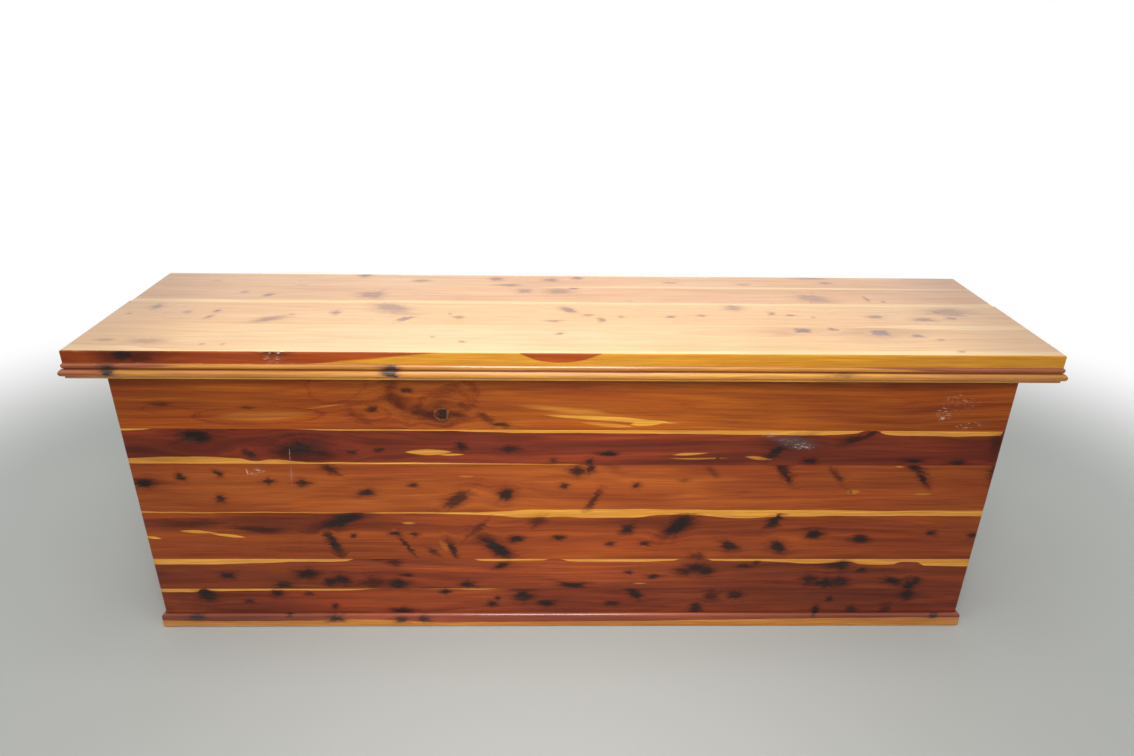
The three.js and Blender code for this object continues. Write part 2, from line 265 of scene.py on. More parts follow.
# %% Grain group
DRIFT_STRETCH = (1.6, 5.0, 5.0)
DRIFT_REACH = (0.0, 0.06, 0.06)
ROUND_PITH = (0.0, 1.0, 1.0)
RING_RISE = (0.15, 0.85)
RING_FALL = (1.0, 0.88)
BROAD_STRETCH = (1.4, 60.0, 60.0)
BROAD_SHARE = 0.6
SLOW_STRETCH = (2.2, 11.0, 11.0)
FIBRE_STRETCH = (9.0, 420.0, 420.0)
TONE_SPAN = (0.3, 0.7)
BLUSH_SPAN = (0.42, 0.66)
grain_group, net, given, end = new_group(
    "grain",
    {"Point": VECTOR, "Shift": VECTOR, "Pith": VECTOR, "Spacing": NUMBER},
    {"Tone": NUMBER, "Ring": NUMBER, "Fibre": NUMBER, "Blush": NUMBER},
)
moved = net.vector("ADD", given["Point"], given["Shift"])
drift = net.streaks(moved, DRIFT_STRETCH, rough=0.45, output="Color")
rippled = net.pushed(given["Point"], drift, DRIFT_REACH)
from_pith = net.vector("SUBTRACT", rippled, given["Pith"])
radius = net.vector("LENGTH", net.vector("MULTIPLY", from_pith, ROUND_PITH))
turns = net.sum("FRACT", net.sum("DIVIDE", radius, given["Spacing"]))
late_wood = net.sum("MULTIPLY", net.fade(turns, *RING_RISE), net.fade(turns, *RING_FALL))
broad = net.streaks(net.pushed(moved, drift, DRIFT_REACH), BROAD_STRETCH, detail=4.0)
slow = net.add("SeparateColor", net.streaks(moved, SLOW_STRETCH, output="Color")).outputs
tone = net.sum("MULTIPLY", slow["Red"], 1 - BROAD_SHARE)
tone = net.sum("MULTIPLY_ADD", broad, BROAD_SHARE, tone)
masks = {"Ring": late_wood, "Fibre": net.streaks(moved, FIBRE_STRETCH)}
masks.update({"Tone": net.fade(tone, *TONE_SPAN), "Blush": net.fade(slow["Green"], *BLUSH_SPAN)})
net.fill(end, masks)
print("grain nodes:", len(grain_group.nodes))

# %% [markdown]
# ## Knots
# Where a branch left the trunk the board shows a dark knot, with a reddish stain that
# fades along the grain, and the grain swerves round it. One knot is one small group. It
# takes the masks so far and hands them on with its own knot added, so a plank's knots are
# chained like beads. Along and Across are the knot's own two axes, and a dot product with
# each says how far out a point is, where 1 is the knot's rim. Two noises that only know
# the direction from the middle pull the rim out into spikes, so no two knots are alike.
# They run along one number each, which keeps a long chain of knots light to render.

# %% Knot group
MARK_SOCKETS = {"Point": VECTOR, "Centre": VECTOR, "Along": VECTOR, "Across": VECTOR}
MARK_SOCKETS.update({"Depth": NUMBER, "Rim": NUMBER})
LEAST_OUT = 0.05
KNOT_SEEDS = (131.0, 0.0, 717.0)
SPIKE_SCALE = 1.5
SPIKE_ROUGH = 0.65
SPIKE_FLOOR = 0.02
CORE_FADE = (1.2, 0.5)
STAIN_FADE = (2.7, 0.4)
STAIN_POWER = 1.6
SWERVE = (0.0, 0.0, 0.6)
SWERVE_FADE = (2.8, 0.3)


def from_middle(net, given):
    """The way from a mark's middle to a point, and how far it is along and across the mark."""
    apart = net.vector("SUBTRACT", given["Point"], given["Centre"])
    along = net.vector("DOT_PRODUCT", apart, given["Along"])
    across = net.vector("DOT_PRODUCT", apart, given["Across"])
    return apart, along, across


def far_out(net, along, across):
    """How far out a point is, where 1 is the mark's rim."""
    square = net.sum("MULTIPLY_ADD", across, across, net.sum("MULTIPLY", along, along))
    return net.sum("SQRT", square)


knot_group, net, given, end = new_group(
    "knot",
    {**MARK_SOCKETS, "Grain": VECTOR, "Core": NUMBER, "Stain": NUMBER},
    {"Grain": VECTOR, "Core": NUMBER, "Stain": NUMBER},
)
apart, along, across = from_middle(net, given)
out = net.sum("MAXIMUM", far_out(net, along, across), LEAST_OUT)
own = net.vector("DOT_PRODUCT", given["Centre"], KNOT_SEEDS)
level_turn = net.sum("ADD", net.sum("DIVIDE", along, out), own)
upright_turn = net.sum("SUBTRACT", net.sum("DIVIDE", across, out), own)
spikes = net.sum(
    "ADD",
    net.noise_line(level_turn, SPIKE_SCALE, rough=SPIKE_ROUGH),
    net.noise_line(upright_turn, SPIKE_SCALE, rough=SPIKE_ROUGH),
)
share = net.sum("DIVIDE", out, net.sum("ADD", spikes, SPIKE_FLOOR))
core = net.sum("MULTIPLY", net.fade(share, *CORE_FADE), given["Depth"])
halo = net.sum("POWER", net.fade(share, *STAIN_FADE), STAIN_POWER)
stain = net.sum("MULTIPLY", halo, given["Rim"])
push = net.vector("MULTIPLY", apart, SWERVE)
push = net.vector("SCALE", push, net.fade(out, *SWERVE_FADE))
masks = {"Grain": net.vector("SUBTRACT", given["Grain"], push)}
masks["Core"] = net.sum("MAXIMUM", given["Core"], core)
masks["Stain"] = net.sum("MAXIMUM", given["Stain"], stain)
net.fill(end, masks)
print("knot nodes:", len(knot_group.nodes))

# %% [markdown]
# ## Flames of sapwood
# The outer wood of the trunk is golden instead of red. Where the saw just touched it, the
# face shows a long pointed flame. Its outline is a parabola: full in the middle, and
# nothing at both tips. The same group marks patches of scuffs, which have soft rims.

# %% Flame group
CHAINED_SOCKETS = {**MARK_SOCKETS, "Mask": NUMBER}
flame_group, net, given, end = new_group("flame", CHAINED_SOCKETS, {"Mask": NUMBER})
along, across = from_middle(net, given)[1:]
outward = net.sum("MULTIPLY_ADD", along, along, net.sum("ABSOLUTE", across))
inside = net.sum("SUBTRACT", 1.0, outward)
mask = net.sum("MULTIPLY", net.fade(inside, 0.0, given["Rim"]), given["Depth"])
net.fill(end, {"Mask": net.sum("MAXIMUM", given["Mask"], mask)})
print("flame nodes:", len(flame_group.nodes))

# %% [markdown]
# ## Thin ovals
# Some marks are lines that close on themselves: the pale bark ring of a loose knot, and
# the arches that a ring of the trunk draws on a flat-sawn face. The group draws a line of
# a given width where a point is just as far out as the oval's rim.

# %% Oval group
oval_group, net, given, end = new_group("oval", CHAINED_SOCKETS, {"Mask": NUMBER})
along, across = from_middle(net, given)[1:]
from_rim = net.sum("ABSOLUTE", net.sum("SUBTRACT", far_out(net, along, across), 1.0))
line = net.sum("MULTIPLY", net.fade(from_rim, given["Rim"], 0.0), given["Depth"])
net.fill(end, {"Mask": net.sum("MAXIMUM", given["Mask"], line)})
print("oval nodes:", len(oval_group.nodes))

# %% [markdown]
# ## Rubbed edges
# Hands and moving wear the varnish off the outer edges. An edge is where two faces of the
# chest are near at once, so the group takes the distance to the nearest face on each axis
# and looks at the second smallest of the three. Noise breaks the line into rubbed spots.

# %% Edge wear group
RUB_SCALE = 38.0
RUB_SPAN = (0.42, 0.75)
wear_group, net, given, end = new_group(
    "edge_wear",
    {"Place": VECTOR, "Low": VECTOR, "High": VECTOR, "Width": NUMBER},
    {"Mask": NUMBER},
)
from_low = net.vector("SUBTRACT", given["Place"], given["Low"])
from_high = net.vector("SUBTRACT", given["High"], given["Place"])
near = net.add("SeparateXYZ", net.vector("MINIMUM", from_low, from_high)).outputs
small = net.sum("MINIMUM", near["X"], near["Y"])
large = net.sum("MAXIMUM", near["X"], near["Y"])
second = net.sum("MAXIMUM", small, net.sum("MINIMUM", large, near["Z"]))
patchy = net.noise(given["Place"], RUB_SCALE, detail=4.0, rough=0.65)
reach = net.sum("MULTIPLY", given["Width"], net.fade(patchy, *RUB_SPAN))
net.fill(end, {"Mask": net.fade(second, reach, 0.0)})
print("edge wear nodes:", len(wear_group.nodes))

# %% [markdown]
# ## Varnish
# The outside has an old satin varnish. It is even but not perfect: wide patches are a bit
# duller, fine hairline scratches run along the boards, and the open grain shows through as
# tiny furrows. The group gives a roughness and a height, and never needs the knots, which
# keeps the bump cheap.

# %% Varnish group
PATCH_SCALE = 7.0
PATCH_SHARE = 0.75
HAIR_STRETCH = (14.0, 700.0, 700.0)
HAIR_SHARE = 0.35
DULL_SPAN = (0.3, 0.8)
FURROW_STRETCH = (6.0, 260.0, 260.0)
FURROW_SHARE = 0.5
SWELL_SCALE = 9.0
SWELL_SHARE = 1.6
varnish_group, net, given, end = new_group(
    "varnish",
    {"Point": VECTOR, "Shift": VECTOR, "Smooth": NUMBER, "Dull": NUMBER},
    {"Roughness": NUMBER, "Height": NUMBER},
)
moved = net.vector("ADD", given["Point"], given["Shift"])
patches = net.sum("MULTIPLY", net.noise(moved, PATCH_SCALE, detail=3.0), PATCH_SHARE)
hairs = net.streaks(moved, HAIR_STRETCH, detail=1.0, rough=0.5)
mixed = net.sum("MULTIPLY_ADD", hairs, HAIR_SHARE, patches)
furrows = net.sum("MULTIPLY", net.streaks(moved, FURROW_STRETCH), FURROW_SHARE)
swell = net.noise(moved, SWELL_SCALE, detail=1.0, rough=0.5)
rough = net.fade(mixed, *DULL_SPAN, given["Smooth"], given["Dull"])
height = net.sum("MULTIPLY_ADD", swell, SWELL_SHARE, furrows)
net.fill(end, {"Roughness": rough, "Height": height})
print("varnish nodes:", len(varnish_group.nodes))

# %% [markdown]
# ## Marks on a board
# A mark is a knot, a flame or a scuffed patch. It is noted in picture pixels: its middle,
# how long and how high it looks, and how far it is turned. Three picture points carried
# onto the board give its middle and its two half axes in metres. They are kept under the
# names of the sockets that take them.

# %% Marks and board space
LEAST_RISE = 0.0008
RANDOM_RISE = (0.3, 0.7)
RANDOM_TURN = 18


class Mark:
    """A mark noted in picture pixels. Turn is in degrees, anticlockwise.

    Depth is how strong the mark is. Rim says what its edge is like: how strong the stain
    round a knot is, how softly a flame or a patch ends, or how wide an oval's line is.
    """

    def __init__(self, x, y, long, high, turn=0, depth=1.0, rim=1.0):
        self.x = x
        self.y = y
        self.half_long = long / 2
        self.half_high = high / 2
        self.turn = math.radians(turn)
        self.depth = depth
        self.rim = rim

    def on_board(self, surface, order):
        """The mark's socket values in board space, for a flat surface of the chest."""
        cos, sin = math.cos(self.turn), math.sin(self.turn)
        tip = (self.x + self.half_long * cos, self.y - self.half_long * sin)
        side = (self.x - self.half_high * sin, self.y - self.half_high * cos)
        spots = [(self.x, self.y), tip, side]
        middle, end, top = [in_order(picture_point(*s, *surface), order) for s in spots]
        half_along, half_across = end - middle, top - middle
        half_along.y = half_across.y = 0
        direction = half_along.normalized()
        rise = max(abs(half_across.dot(square_to(direction))), LEAST_RISE)
        return mark_values(middle, direction, half_along.length, rise, self.depth, self.rim)


def in_order(point, order):
    """A point with its coordinates in board order: along, through, across."""
    return Vector([point["xyz".index(letter)] for letter in order])


def square_to(direction):
    """The direction that is square to this one in the face of a board."""
    return Vector((-direction.z, 0, direction.x))


def mark_values(middle, direction, long, rise, depth=1.0, rim=1.0):
    """Socket values of a mark. Each of its two axes reads 1 at the rim."""
    axes = {"Along": direction / long, "Across": square_to(direction) / rise}
    return {"Centre": middle, **axes, "Depth": depth, "Rim": rim}


def random_marks(seed, order, box, count, sizes):
    """Seeded marks for a board that the picture doesn't show, in board space."""
    draw = random.Random(seed)
    low, high = [in_order(corner, order) for corner in box]
    marks = []
    for _ in range(count):
        x, z = draw.uniform(low.x, high.x), draw.uniform(low.z, high.z)
        long = draw.uniform(*sizes)
        rise = long * draw.uniform(*RANDOM_RISE)
        turn = math.radians(draw.gauss(0, RANDOM_TURN))
        direction = Vector((math.cos(turn), 0, math.sin(turn)))
        marks.append(mark_values(Vector((x, low.y, z)), direction, long, rise))
    return marks


middle_of_front = picture_point(PICTURE_WIDTH / 2, PICTURE_HEIGHT / 2, *ON_FRONT)
print("the picture's middle is on the front at:", [round(v, 3) for v in middle_of_front])

# %% [markdown]
# ## One recipe for all the cedar
# Every board uses the same recipe with its own look: two heartwood tones, two sapwood
# tones, a shift that moves the grain pattern, knots, flames, and bands of sapwood along
# its edges. A look names only what differs from the usual one.

# %% Cedar colours
SAP_LIGHT = colour(224, 160, 60)
SAP_DARK = colour(200, 130, 46)
RAW_CEDAR = colour(196, 128, 92)
KNOT_BLACK = colour(23, 12, 11)
KNOT_GREY = colour(54, 33, 29)
BARK_PALE = colour(170, 110, 66)
HAZE_GREY = colour(150, 132, 134)
WORN_WOOD = colour(206, 150, 96)
SCUFF_WHITE = colour(216, 200, 184)
QUIRK_DIRT_AND_SHADE = colour(96, 46, 20)
STAIN_TINT = (0.26, 0.15, 0.22, 1.0)
BLUSH_TINT = (0.86, 0.62, 0.74, 1.0)
OVAL_TINT = (0.62, 0.42, 0.42, 1.0)
PALE_TINT = (1.6, 1.72, 1.6, 1.0)
RING_TINT = (0.8, 0.72, 0.7, 1.0)
FIBRE_DARK = (0.83, 0.8, 0.77, 1.0)
FIBRE_LIGHT = (1.16, 1.18, 1.19, 1.0)
END_TINT = (0.74, 0.66, 0.62, 1.0)
# Tint of the painted shade on the lid's last part towards both ends, where the light falls off.
END_SHADE_TINT = (0.76, 0.73, 0.72, 1.0)
MARK_KINDS = ("knots", "flames", "pale", "arches", "bark", "scratches", "haze", "scuffs")
USUAL_LOOK = {
    "sap": SAP_LIGHT,
    "sap_dark": SAP_DARK,
    "knot": KNOT_BLACK,
    "knot_light": KNOT_GREY,
    "stain_tint": STAIN_TINT,
    "pale_tint": PALE_TINT,
    "rings": 0.007,
    "ring_depth": 0.45,
    "blush": 0.6,
    "fibre": 1.0,
    "fleck": 130.0,
    "end_reach": 0.0012,
    "wear": 0.006,
    "smooth": 0.26,
    "dull": 0.44,
    "bump": 0.25,
    "gloss": 0.3,
    "coat": 0.0,
    "bands": [],
    **{kind: [] for kind in MARK_KINDS},
}
print("values in the usual look:", len(USUAL_LOOK))

# %% [markdown]
# Each of the next calls adds one kind of mark to the net. Knots push the grain aside, so
# they come first and hand on a bent copy of the point. Two noises loosen their outlines:
# a ragged one, and one stretched along the grain for wispy tips. A band's width is a curve
# along the board, drawn as a few points.

# %% Marks in a net
RAG_STRETCH = (50.0, 50.0, 190.0)
RAG_REACH = (0.03, 0.0, 0.01)
WISP_STRETCH = (30.0, 30.0, 620.0)
WISP_REACH = 0.009
OVAL_BENDS = 60.0
OVAL_GAPS = 260.0
GAP_SPAN = (0.36, 0.5)
GAP_LEAST = 0.15
BAND_FULL = 0.04
BAND_EDGE = 0.0012


def add_knots(net, point, knots):
    """Chains the knots. Gives the bent point, the knot mask and the stain mask."""
    ragged = net.streaks(point, RAG_STRETCH, detail=4.0, rough=0.72, output="Color")
    loose = net.pushed(point, ragged, RAG_REACH)
    wisps = net.streaks(point, WISP_STRETCH)
    feather = net.sum("MULTIPLY_ADD", wisps, WISP_REACH, -WISP_REACH / 2)
    loose = net.vector("ADD", loose, net.first("CombineXYZ", feather))
    bent, core, stain = point, 0.0, 0.0
    for knot in knots:
        so_far = {"Point": loose, "Grain": bent, "Core": core, "Stain": stain}
        out = net.use(knot_group, {**knot, **so_far})
        bent, core, stain = out["Grain"], out["Core"], out["Stain"]
    return bent, core, stain


def add_marks(net, point, marks, group=flame_group):
    """Chains flames, patches or ovals into one mask."""
    mask = 0.0
    for mark in marks:
        mask = net.use(group, {**mark, "Point": point, "Mask": mask})["Mask"]
    return mask


def add_ovals(net, point, ovals, warp):
    """Chains thin ovals into one mask. Noise warps the lines and breaks them here and there."""
    bends = net.noise(point, OVAL_BENDS, rough=0.5, output="Color")
    point = net.pushed(point, bends, (warp, 0.0, warp))
    gaps = net.fade(net.noise(point, OVAL_GAPS), *GAP_SPAN, GAP_LEAST)
    return net.sum("MULTIPLY", add_marks(net, point, ovals, oval_group), gaps)


def band_width(net, along, ends, points):
    """The width in metres of a band along the board. Points are (share, metres)."""
    share = net.sum("DIVIDE", net.sum("SUBTRACT", along, ends[0]), ends[1] - ends[0])
    share = net.sum("MINIMUM", net.sum("MAXIMUM", share, 0.0), 1.0)
    node = net.add("FloatCurve", 1.0, share)
    curve = node.mapping.curves[0]
    while len(curve.points) < len(points):
        curve.points.new(0.5, 0.5)
    for spot, (place, width) in zip(curve.points, points):
        spot.location = (place, width / BAND_FULL)
    node.mapping.update()
    return net.sum("MULTIPLY", node.outputs[0], BAND_FULL)


def add_bands(net, point, low, high, bands, mask):
    """Adds bands of sapwood along the top or bottom edge of a board to the mask."""
    parts = net.add("SeparateXYZ", point).outputs
    for edge, points in bands:
        width = band_width(net, parts["X"], (low.x, high.x), points)
        first, second = (high.z, parts["Z"]) if edge == "top" else (parts["Z"], low.z)
        inward = net.sum("SUBTRACT", first, second)
        inside = net.fade(net.sum("SUBTRACT", width, inward), 0.0, BAND_EDGE)
        mask = net.sum("MAXIMUM", mask, inside)
    return mask


print("widest band in metres:", BAND_FULL)

# %% [markdown]
# The recipe itself goes from the solid wood outwards: grain, sapwood, knots, then what
# years of use added. Bands and flames use a calmer wobble than knots, because sapwood has
# a clean edge and a knot a feathered one.

# %% Colour of solid cedar
CALM_STRETCH = (10.0, 10.0, 55.0)
CALM_REACH = (0.03, 0.0, 0.006)
ARCH_WARP = 0.004
BARK_WARP = 0.014
FIBRE_SPAN = (0.3, 0.7)
STREAKY_LEAST = 0.6
KNOT_SPAN = (0.45, 0.75)
BREAK_SCALE = 420.0
BREAK_SPAN = (0.4, 0.55)
FLECK_STRETCH = (0.4, 1.0, 1.5)
FLECK_SPAN = (0.54, 0.66)


def old_marks(net, point, wood, look):
    """Adds what age and use left on a face: a bark ring, scratches, haze and scuffs."""
    if look["bark"]:
        wood = net.blend(add_ovals(net, point, look["bark"], BARK_WARP), wood, BARK_PALE)
    if look["scratches"]:
        broken = net.fade(net.noise(point, BREAK_SCALE), *BREAK_SPAN)
        scratch = net.sum("MULTIPLY", add_marks(net, point, look["scratches"]), broken)
        wood = net.blend(scratch, wood, SCUFF_WHITE)
    if look["haze"]:
        wood = net.blend(add_marks(net, point, look["haze"]), wood, HAZE_GREY)
    if look["scuffs"]:
        stretched = net.vector("MULTIPLY", point, FLECK_STRETCH)
        flecks = net.noise(stretched, look["fleck"], detail=3.0, rough=0.7)
        scuff = add_marks(net, point, look["scuffs"])
        scuff = net.sum("MULTIPLY", scuff, net.fade(flecks, *FLECK_SPAN))
        wood = net.blend(scuff, wood, SCUFF_WHITE)
    return wood


def wood_colour(net, point, shift, low, high, look):
    """The colour of solid cedar at a point in board space."""
    bent, core, stain = add_knots(net, point, look["knots"])
    grain = {"Point": bent, "Shift": shift, "Pith": (0.0, *look["pith"])}
    out = net.use(grain_group, {**grain, "Spacing": look["rings"]})
    tone, fibre = out["Tone"], out["Fibre"]

    wobble = net.streaks(point, CALM_STRETCH, rough=0.5, output="Color")
    calm = net.pushed(point, wobble, CALM_REACH)
    sap = add_bands(net, calm, low, high, look["bands"], add_marks(net, calm, look["flames"]))

    heart = net.blend(tone, look["dark"], look["light"])
    # Pale marks are painted light: they lighten a board where more of the room's light fell.
    if look["pale"]:
        heart = net.tint(add_marks(net, calm, look["pale"]), heart, look["pale_tint"])
    heart = net.tint(net.sum("MULTIPLY", out["Blush"], look["blush"]), heart, BLUSH_TINT)
    if look["arches"]:
        heart = net.tint(add_ovals(net, calm, look["arches"], ARCH_WARP), heart, OVAL_TINT)
    heart = net.tint(net.sum("MULTIPLY", out["Ring"], look["ring_depth"]), heart, RING_TINT)
    wood = net.blend(sap, heart, net.blend(tone, look["sap_dark"], look["sap"]))
    fibres = net.blend(net.fade(fibre, *FIBRE_SPAN), FIBRE_DARK, FIBRE_LIGHT)
    wood = net.tint(look["fibre"], wood, fibres)
    if look["knots"]:
        streaky = net.sum("MULTIPLY", stain, net.fade(tone, 1.0, 0.0, STREAKY_LEAST))
        wood = net.tint(streaky, wood, look["stain_tint"])
        knot = net.blend(net.fade(fibre, *KNOT_SPAN), look["knot"], look["knot_light"])
        wood = net.blend(core, wood, knot)
    return old_marks(net, point, wood, look)


print("kinds of marks:", len(MARK_KINDS))

# %% [markdown]
# Last comes the finish. A face that looks into the chest was never varnished, so it stays
# paler and dull. The lid's front edge shows other wood than its top, so it has a look of
# its own. Both corners of a board's box tell where its faces are.

# %% Cedar material
SHIFT_REACH = 30
PITH_DEPTH = (0.05, 0.12)
END_SKIN = 0.0002
END_SHADE_FROM = 0.74
END_SHADE_FULL = 0.98
LID_EDGE_SPAN = (0.0022, 0.0008)
QUIRK_SHADE_MOST = 0.75
WORN_MOST = 0.5
RAW_MOST = 0.5
RAW_ROUGH = 0.8
GRAIN_HEIGHT = 0.0006
COAT_ROUGH = 0.14


def end_colour(net, board, low, high, wood, look):
    """The colour with its darker board ends and, on the lid, painted shade that darkens its last
    part towards both ends.
    """
    half = (high.x - low.x) / 2
    to_end = net.sum("ABSOLUTE", net.sum("SUBTRACT", board[0], (low.x + high.x) / 2))
    wood = net.tint(net.fade(to_end, half - look["end_reach"], half - END_SKIN), wood, END_TINT)
    # On the lid, painted shade: its last part towards each end is darkened where the light falls
    # off.
    if "aged" in look:
        aged = net.fade(to_end, half * END_SHADE_FROM, half * END_SHADE_FULL, 0.0, look["aged"])
        wood = net.tint(aged, wood, END_SHADE_TINT)
    return wood


def used_colour(net, place, board, low, high, wood, look):
    """The colour with painted shade and old dirt in a groove, and with the rubbed edges."""
    # The quirk is darkened: painted shade in the groove, along with old dirt.
    if "quirk_shade_share" in look:
        groove = low.z + (high.z - low.z) * look["quirk_shade_share"]
        off = net.sum("ABSOLUTE", net.sum("SUBTRACT", board[2], groove))
        dirt_and_shade = net.fade(off, look["quirk_shade_reach"], look["quirk_shade_from"], 0.0, QUIRK_SHADE_MOST)
        wood = net.blend(dirt_and_shade, wood, QUIRK_DIRT_AND_SHADE)
    if "worn_box" in look:
        near, far = look["worn_box"]
        values = {"Place": place, "Low": near, "High": far, "Width": look["wear"]}
        worn = net.sum("MULTIPLY", net.use(wear_group, values)["Mask"], WORN_MOST)
        wood = net.blend(worn, wood, WORN_WOOD)
    return wood


def cedar(name, order, box, seed, look):
    """A cedar material with a look of its own."""
    material, net, shader = new_material(name)
    look = {**USUAL_LOOK, **look}
    low, high = [in_order(corner, order) for corner in box]
    draw = random.Random(seed)
    shift = Vector([draw.uniform(-SHIFT_REACH, SHIFT_REACH) for _ in range(3)])
    look["pith"] = (low.y + draw.uniform(*PITH_DEPTH), draw.uniform(low.z, high.z))

    place = net.add("TexCoord").outputs["Object"]
    axes = net.add("SeparateXYZ", place).outputs
    board = [axes[letter.upper()] for letter in order]
    point = net.first("CombineXYZ", *board)
    wood = wood_colour(net, point, shift, low, high, look)
    wood = end_colour(net, board, low, high, wood, look)
    coat = look["coat"]
    if "edge_look" in look:
        edge_look = {**USUAL_LOOK, **look["edge_look"]}
        edge_wood = wood_colour(net, place, shift, low, high, edge_look)
        on_edge = net.fade(board[2], *[low.z + depth for depth in LID_EDGE_SPAN])
        wood = net.blend(on_edge, wood, edge_wood)
        coat = net.sum("MULTIPLY", net.sum("SUBTRACT", 1.0, on_edge), coat)
    wood = used_colour(net, place, board, low, high, wood, look)

    values = {"Point": point, "Shift": shift, "Smooth": look["smooth"], "Dull": look["dull"]}
    finish = net.use(varnish_group, values)
    rough = finish["Roughness"]
    if "raw_from" in look:
        raw = net.fade(board[1], look["raw_from"], look["raw_to"])
        wood = net.blend(net.sum("MULTIPLY", raw, RAW_MOST), wood, RAW_CEDAR)
        rough = net.sum("MAXIMUM", rough, net.sum("MULTIPLY", raw, RAW_ROUGH))
    values = {"Base Color": wood, "Roughness": rough, "Specular IOR Level": look["gloss"]}
    values.update({"Coat Weight": coat, "Coat Roughness": COAT_ROUGH})
    values["Normal"] = net.bump(finish["Height"], look["bump"], GRAIN_HEIGHT)
    net.fill(shader, values)
    return material


def dress(piece, material):
    """Puts a material on a piece of the packed model."""
    for holder in nodes[piece].material_slots:
        holder.material = material


def dress_in_cedar(piece, order, seed, look, kind="cedar_"):
    """Gives a piece of the packed model cedar of its own."""
    dress(piece, cedar(kind + piece, order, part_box(piece), seed, look))


def placed(noted, surface, order):
    """A look whose marks are carried from the picture onto a surface of the chest."""
    marks = {kind: noted.get(kind, []) for kind in MARK_KINDS}
    carried = {kind: [mark.on_board(surface, order) for mark in marks[kind]] for kind in marks}
    return {**noted, **carried}


print("height of the grain in metres:", GRAIN_HEIGHT)

# %% [markdown]
# ## The front
# Six planks make the front. From the top they are orange, plum red, orange, orange red and
# two deep reds. Each is knotty in its own way: round black knots where a branch was cut
# straight through, and long slanted ones where the saw followed it. Golden sapwood follows
# several of the glue lines, in bands that swell and thin out. A band is noted where the
# picture shows it: how far along, and how many pixels wide. Pale marks lighten the middle
# of a plank, where the room's light fell.

# %% Bands of sapwood
NOTES = {}


def noted_band(plank, edge, y, x, wide):
    """A band on an edge of a front plank, noted at places x on the picture line y.

    Its points are pairs of a share of the plank's length and a width in metres.
    """
    low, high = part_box(f"front_plank_{plank}")
    points = []
    for along, width in zip(x, wide):
        place = picture_point(along, y, *ON_FRONT)
        under = picture_point(along, y + width, *ON_FRONT)
        share = (place.x - low.x) / (high.x - low.x)
        points.append((min(max(share, 0), 1), place.z - under.z))
    return edge, points


def note(piece, **noted):
    """Keeps the tones, marks and bands that were noted about a plank."""
    NOTES[piece] = noted
    marks = sum(len(noted.get(kind, [])) for kind in MARK_KINDS)
    print(piece, "marks:", marks, " bands:", len(noted.get("bands", [])))


print("kinds of marks to note:", len(MARK_KINDS))

# %% Plank 6, at the top
note(
    "front_plank_6",
    light=colour(182, 96, 22),
    dark=colour(128, 55, 12),
    knots=[
        Mark(x=156, y=404, long=16, high=4, depth=0.35, rim=0.5),
        Mark(x=242, y=408, long=12, high=3, depth=0.3, rim=0.5),
        Mark(x=352, y=418, long=18, high=7, turn=-20, depth=0.0, rim=0.75),
        Mark(x=367, y=410, long=9, high=4, depth=0.6),
        Mark(x=401, y=390, long=10, high=4, depth=0.6),
        Mark(x=390, y=396, long=34, high=10, turn=-60, depth=0.0, rim=0.5),
        Mark(x=406, y=408, long=44, high=10, turn=-24, depth=0.0, rim=0.55),
        Mark(x=422, y=415, long=28, high=7, turn=-6, depth=0.3, rim=0.9),
        Mark(x=433, y=401, long=34, high=9, turn=42, depth=0.0, rim=0.4),
        Mark(x=441, y=416, long=32, high=18, depth=0.0, rim=0.7),
        Mark(x=439, y=414, long=13, high=14, depth=0.85, rim=0.6),
        Mark(x=453, y=416, long=22, high=5, turn=-6, depth=0.35, rim=0.8),
        Mark(x=459, y=405, long=8, high=5, depth=0.0, rim=0.75),
        Mark(x=484, y=420, long=20, high=6, turn=-38, depth=0.1, rim=0.8),
        Mark(x=501, y=426, long=22, high=4, turn=-6, depth=0.75),
    ],
    flames=[
        Mark(x=566, y=411, long=124, high=9, turn=-5, depth=0.5, rim=0.9),
        Mark(x=612, y=420, long=152, high=6, turn=-3.4, rim=0.4),
        Mark(x=652, y=424, long=40, high=7, turn=5, rim=0.4),
        Mark(x=610, y=426, long=64, high=5, turn=-4, depth=0.5, rim=0.5),
        Mark(x=258, y=416, long=116, high=14, turn=2, depth=0.22, rim=0.6),
        Mark(x=320, y=407, long=50, high=2.5, turn=6, depth=0.35, rim=0.6),
    ],
    arches=[
        Mark(x=252, y=416, long=128, high=17, turn=1, depth=0.8, rim=0.09),
        Mark(x=168, y=412, long=56, high=11, turn=-8, depth=0.6, rim=0.1),
        Mark(x=806, y=404, long=230, high=16, turn=1, depth=0.35, rim=0.12),
        Mark(x=428, y=393, long=92, high=46, turn=-4, depth=0.85, rim=0.2),
        Mark(x=440, y=405, long=54, high=28, turn=8, depth=0.8, rim=0.26),
        Mark(x=364, y=413, long=42, high=16, turn=-8, depth=0.6, rim=0.25),
        Mark(x=330, y=384, long=60, high=40, turn=20, depth=0.5, rim=0.12),
    ],
    bark=[Mark(x=438, y=415, long=14, high=12, turn=20, depth=0.38, rim=0.26)],
    scuffs=[
        Mark(x=949, y=414, long=18, high=24, turn=-20, depth=0.6, rim=0.6),
        Mark(x=966, y=402, long=44, high=30, depth=0.3, rim=0.8),
        Mark(x=972, y=426, long=34, high=11, depth=0.6, rim=0.7),
    ],
)

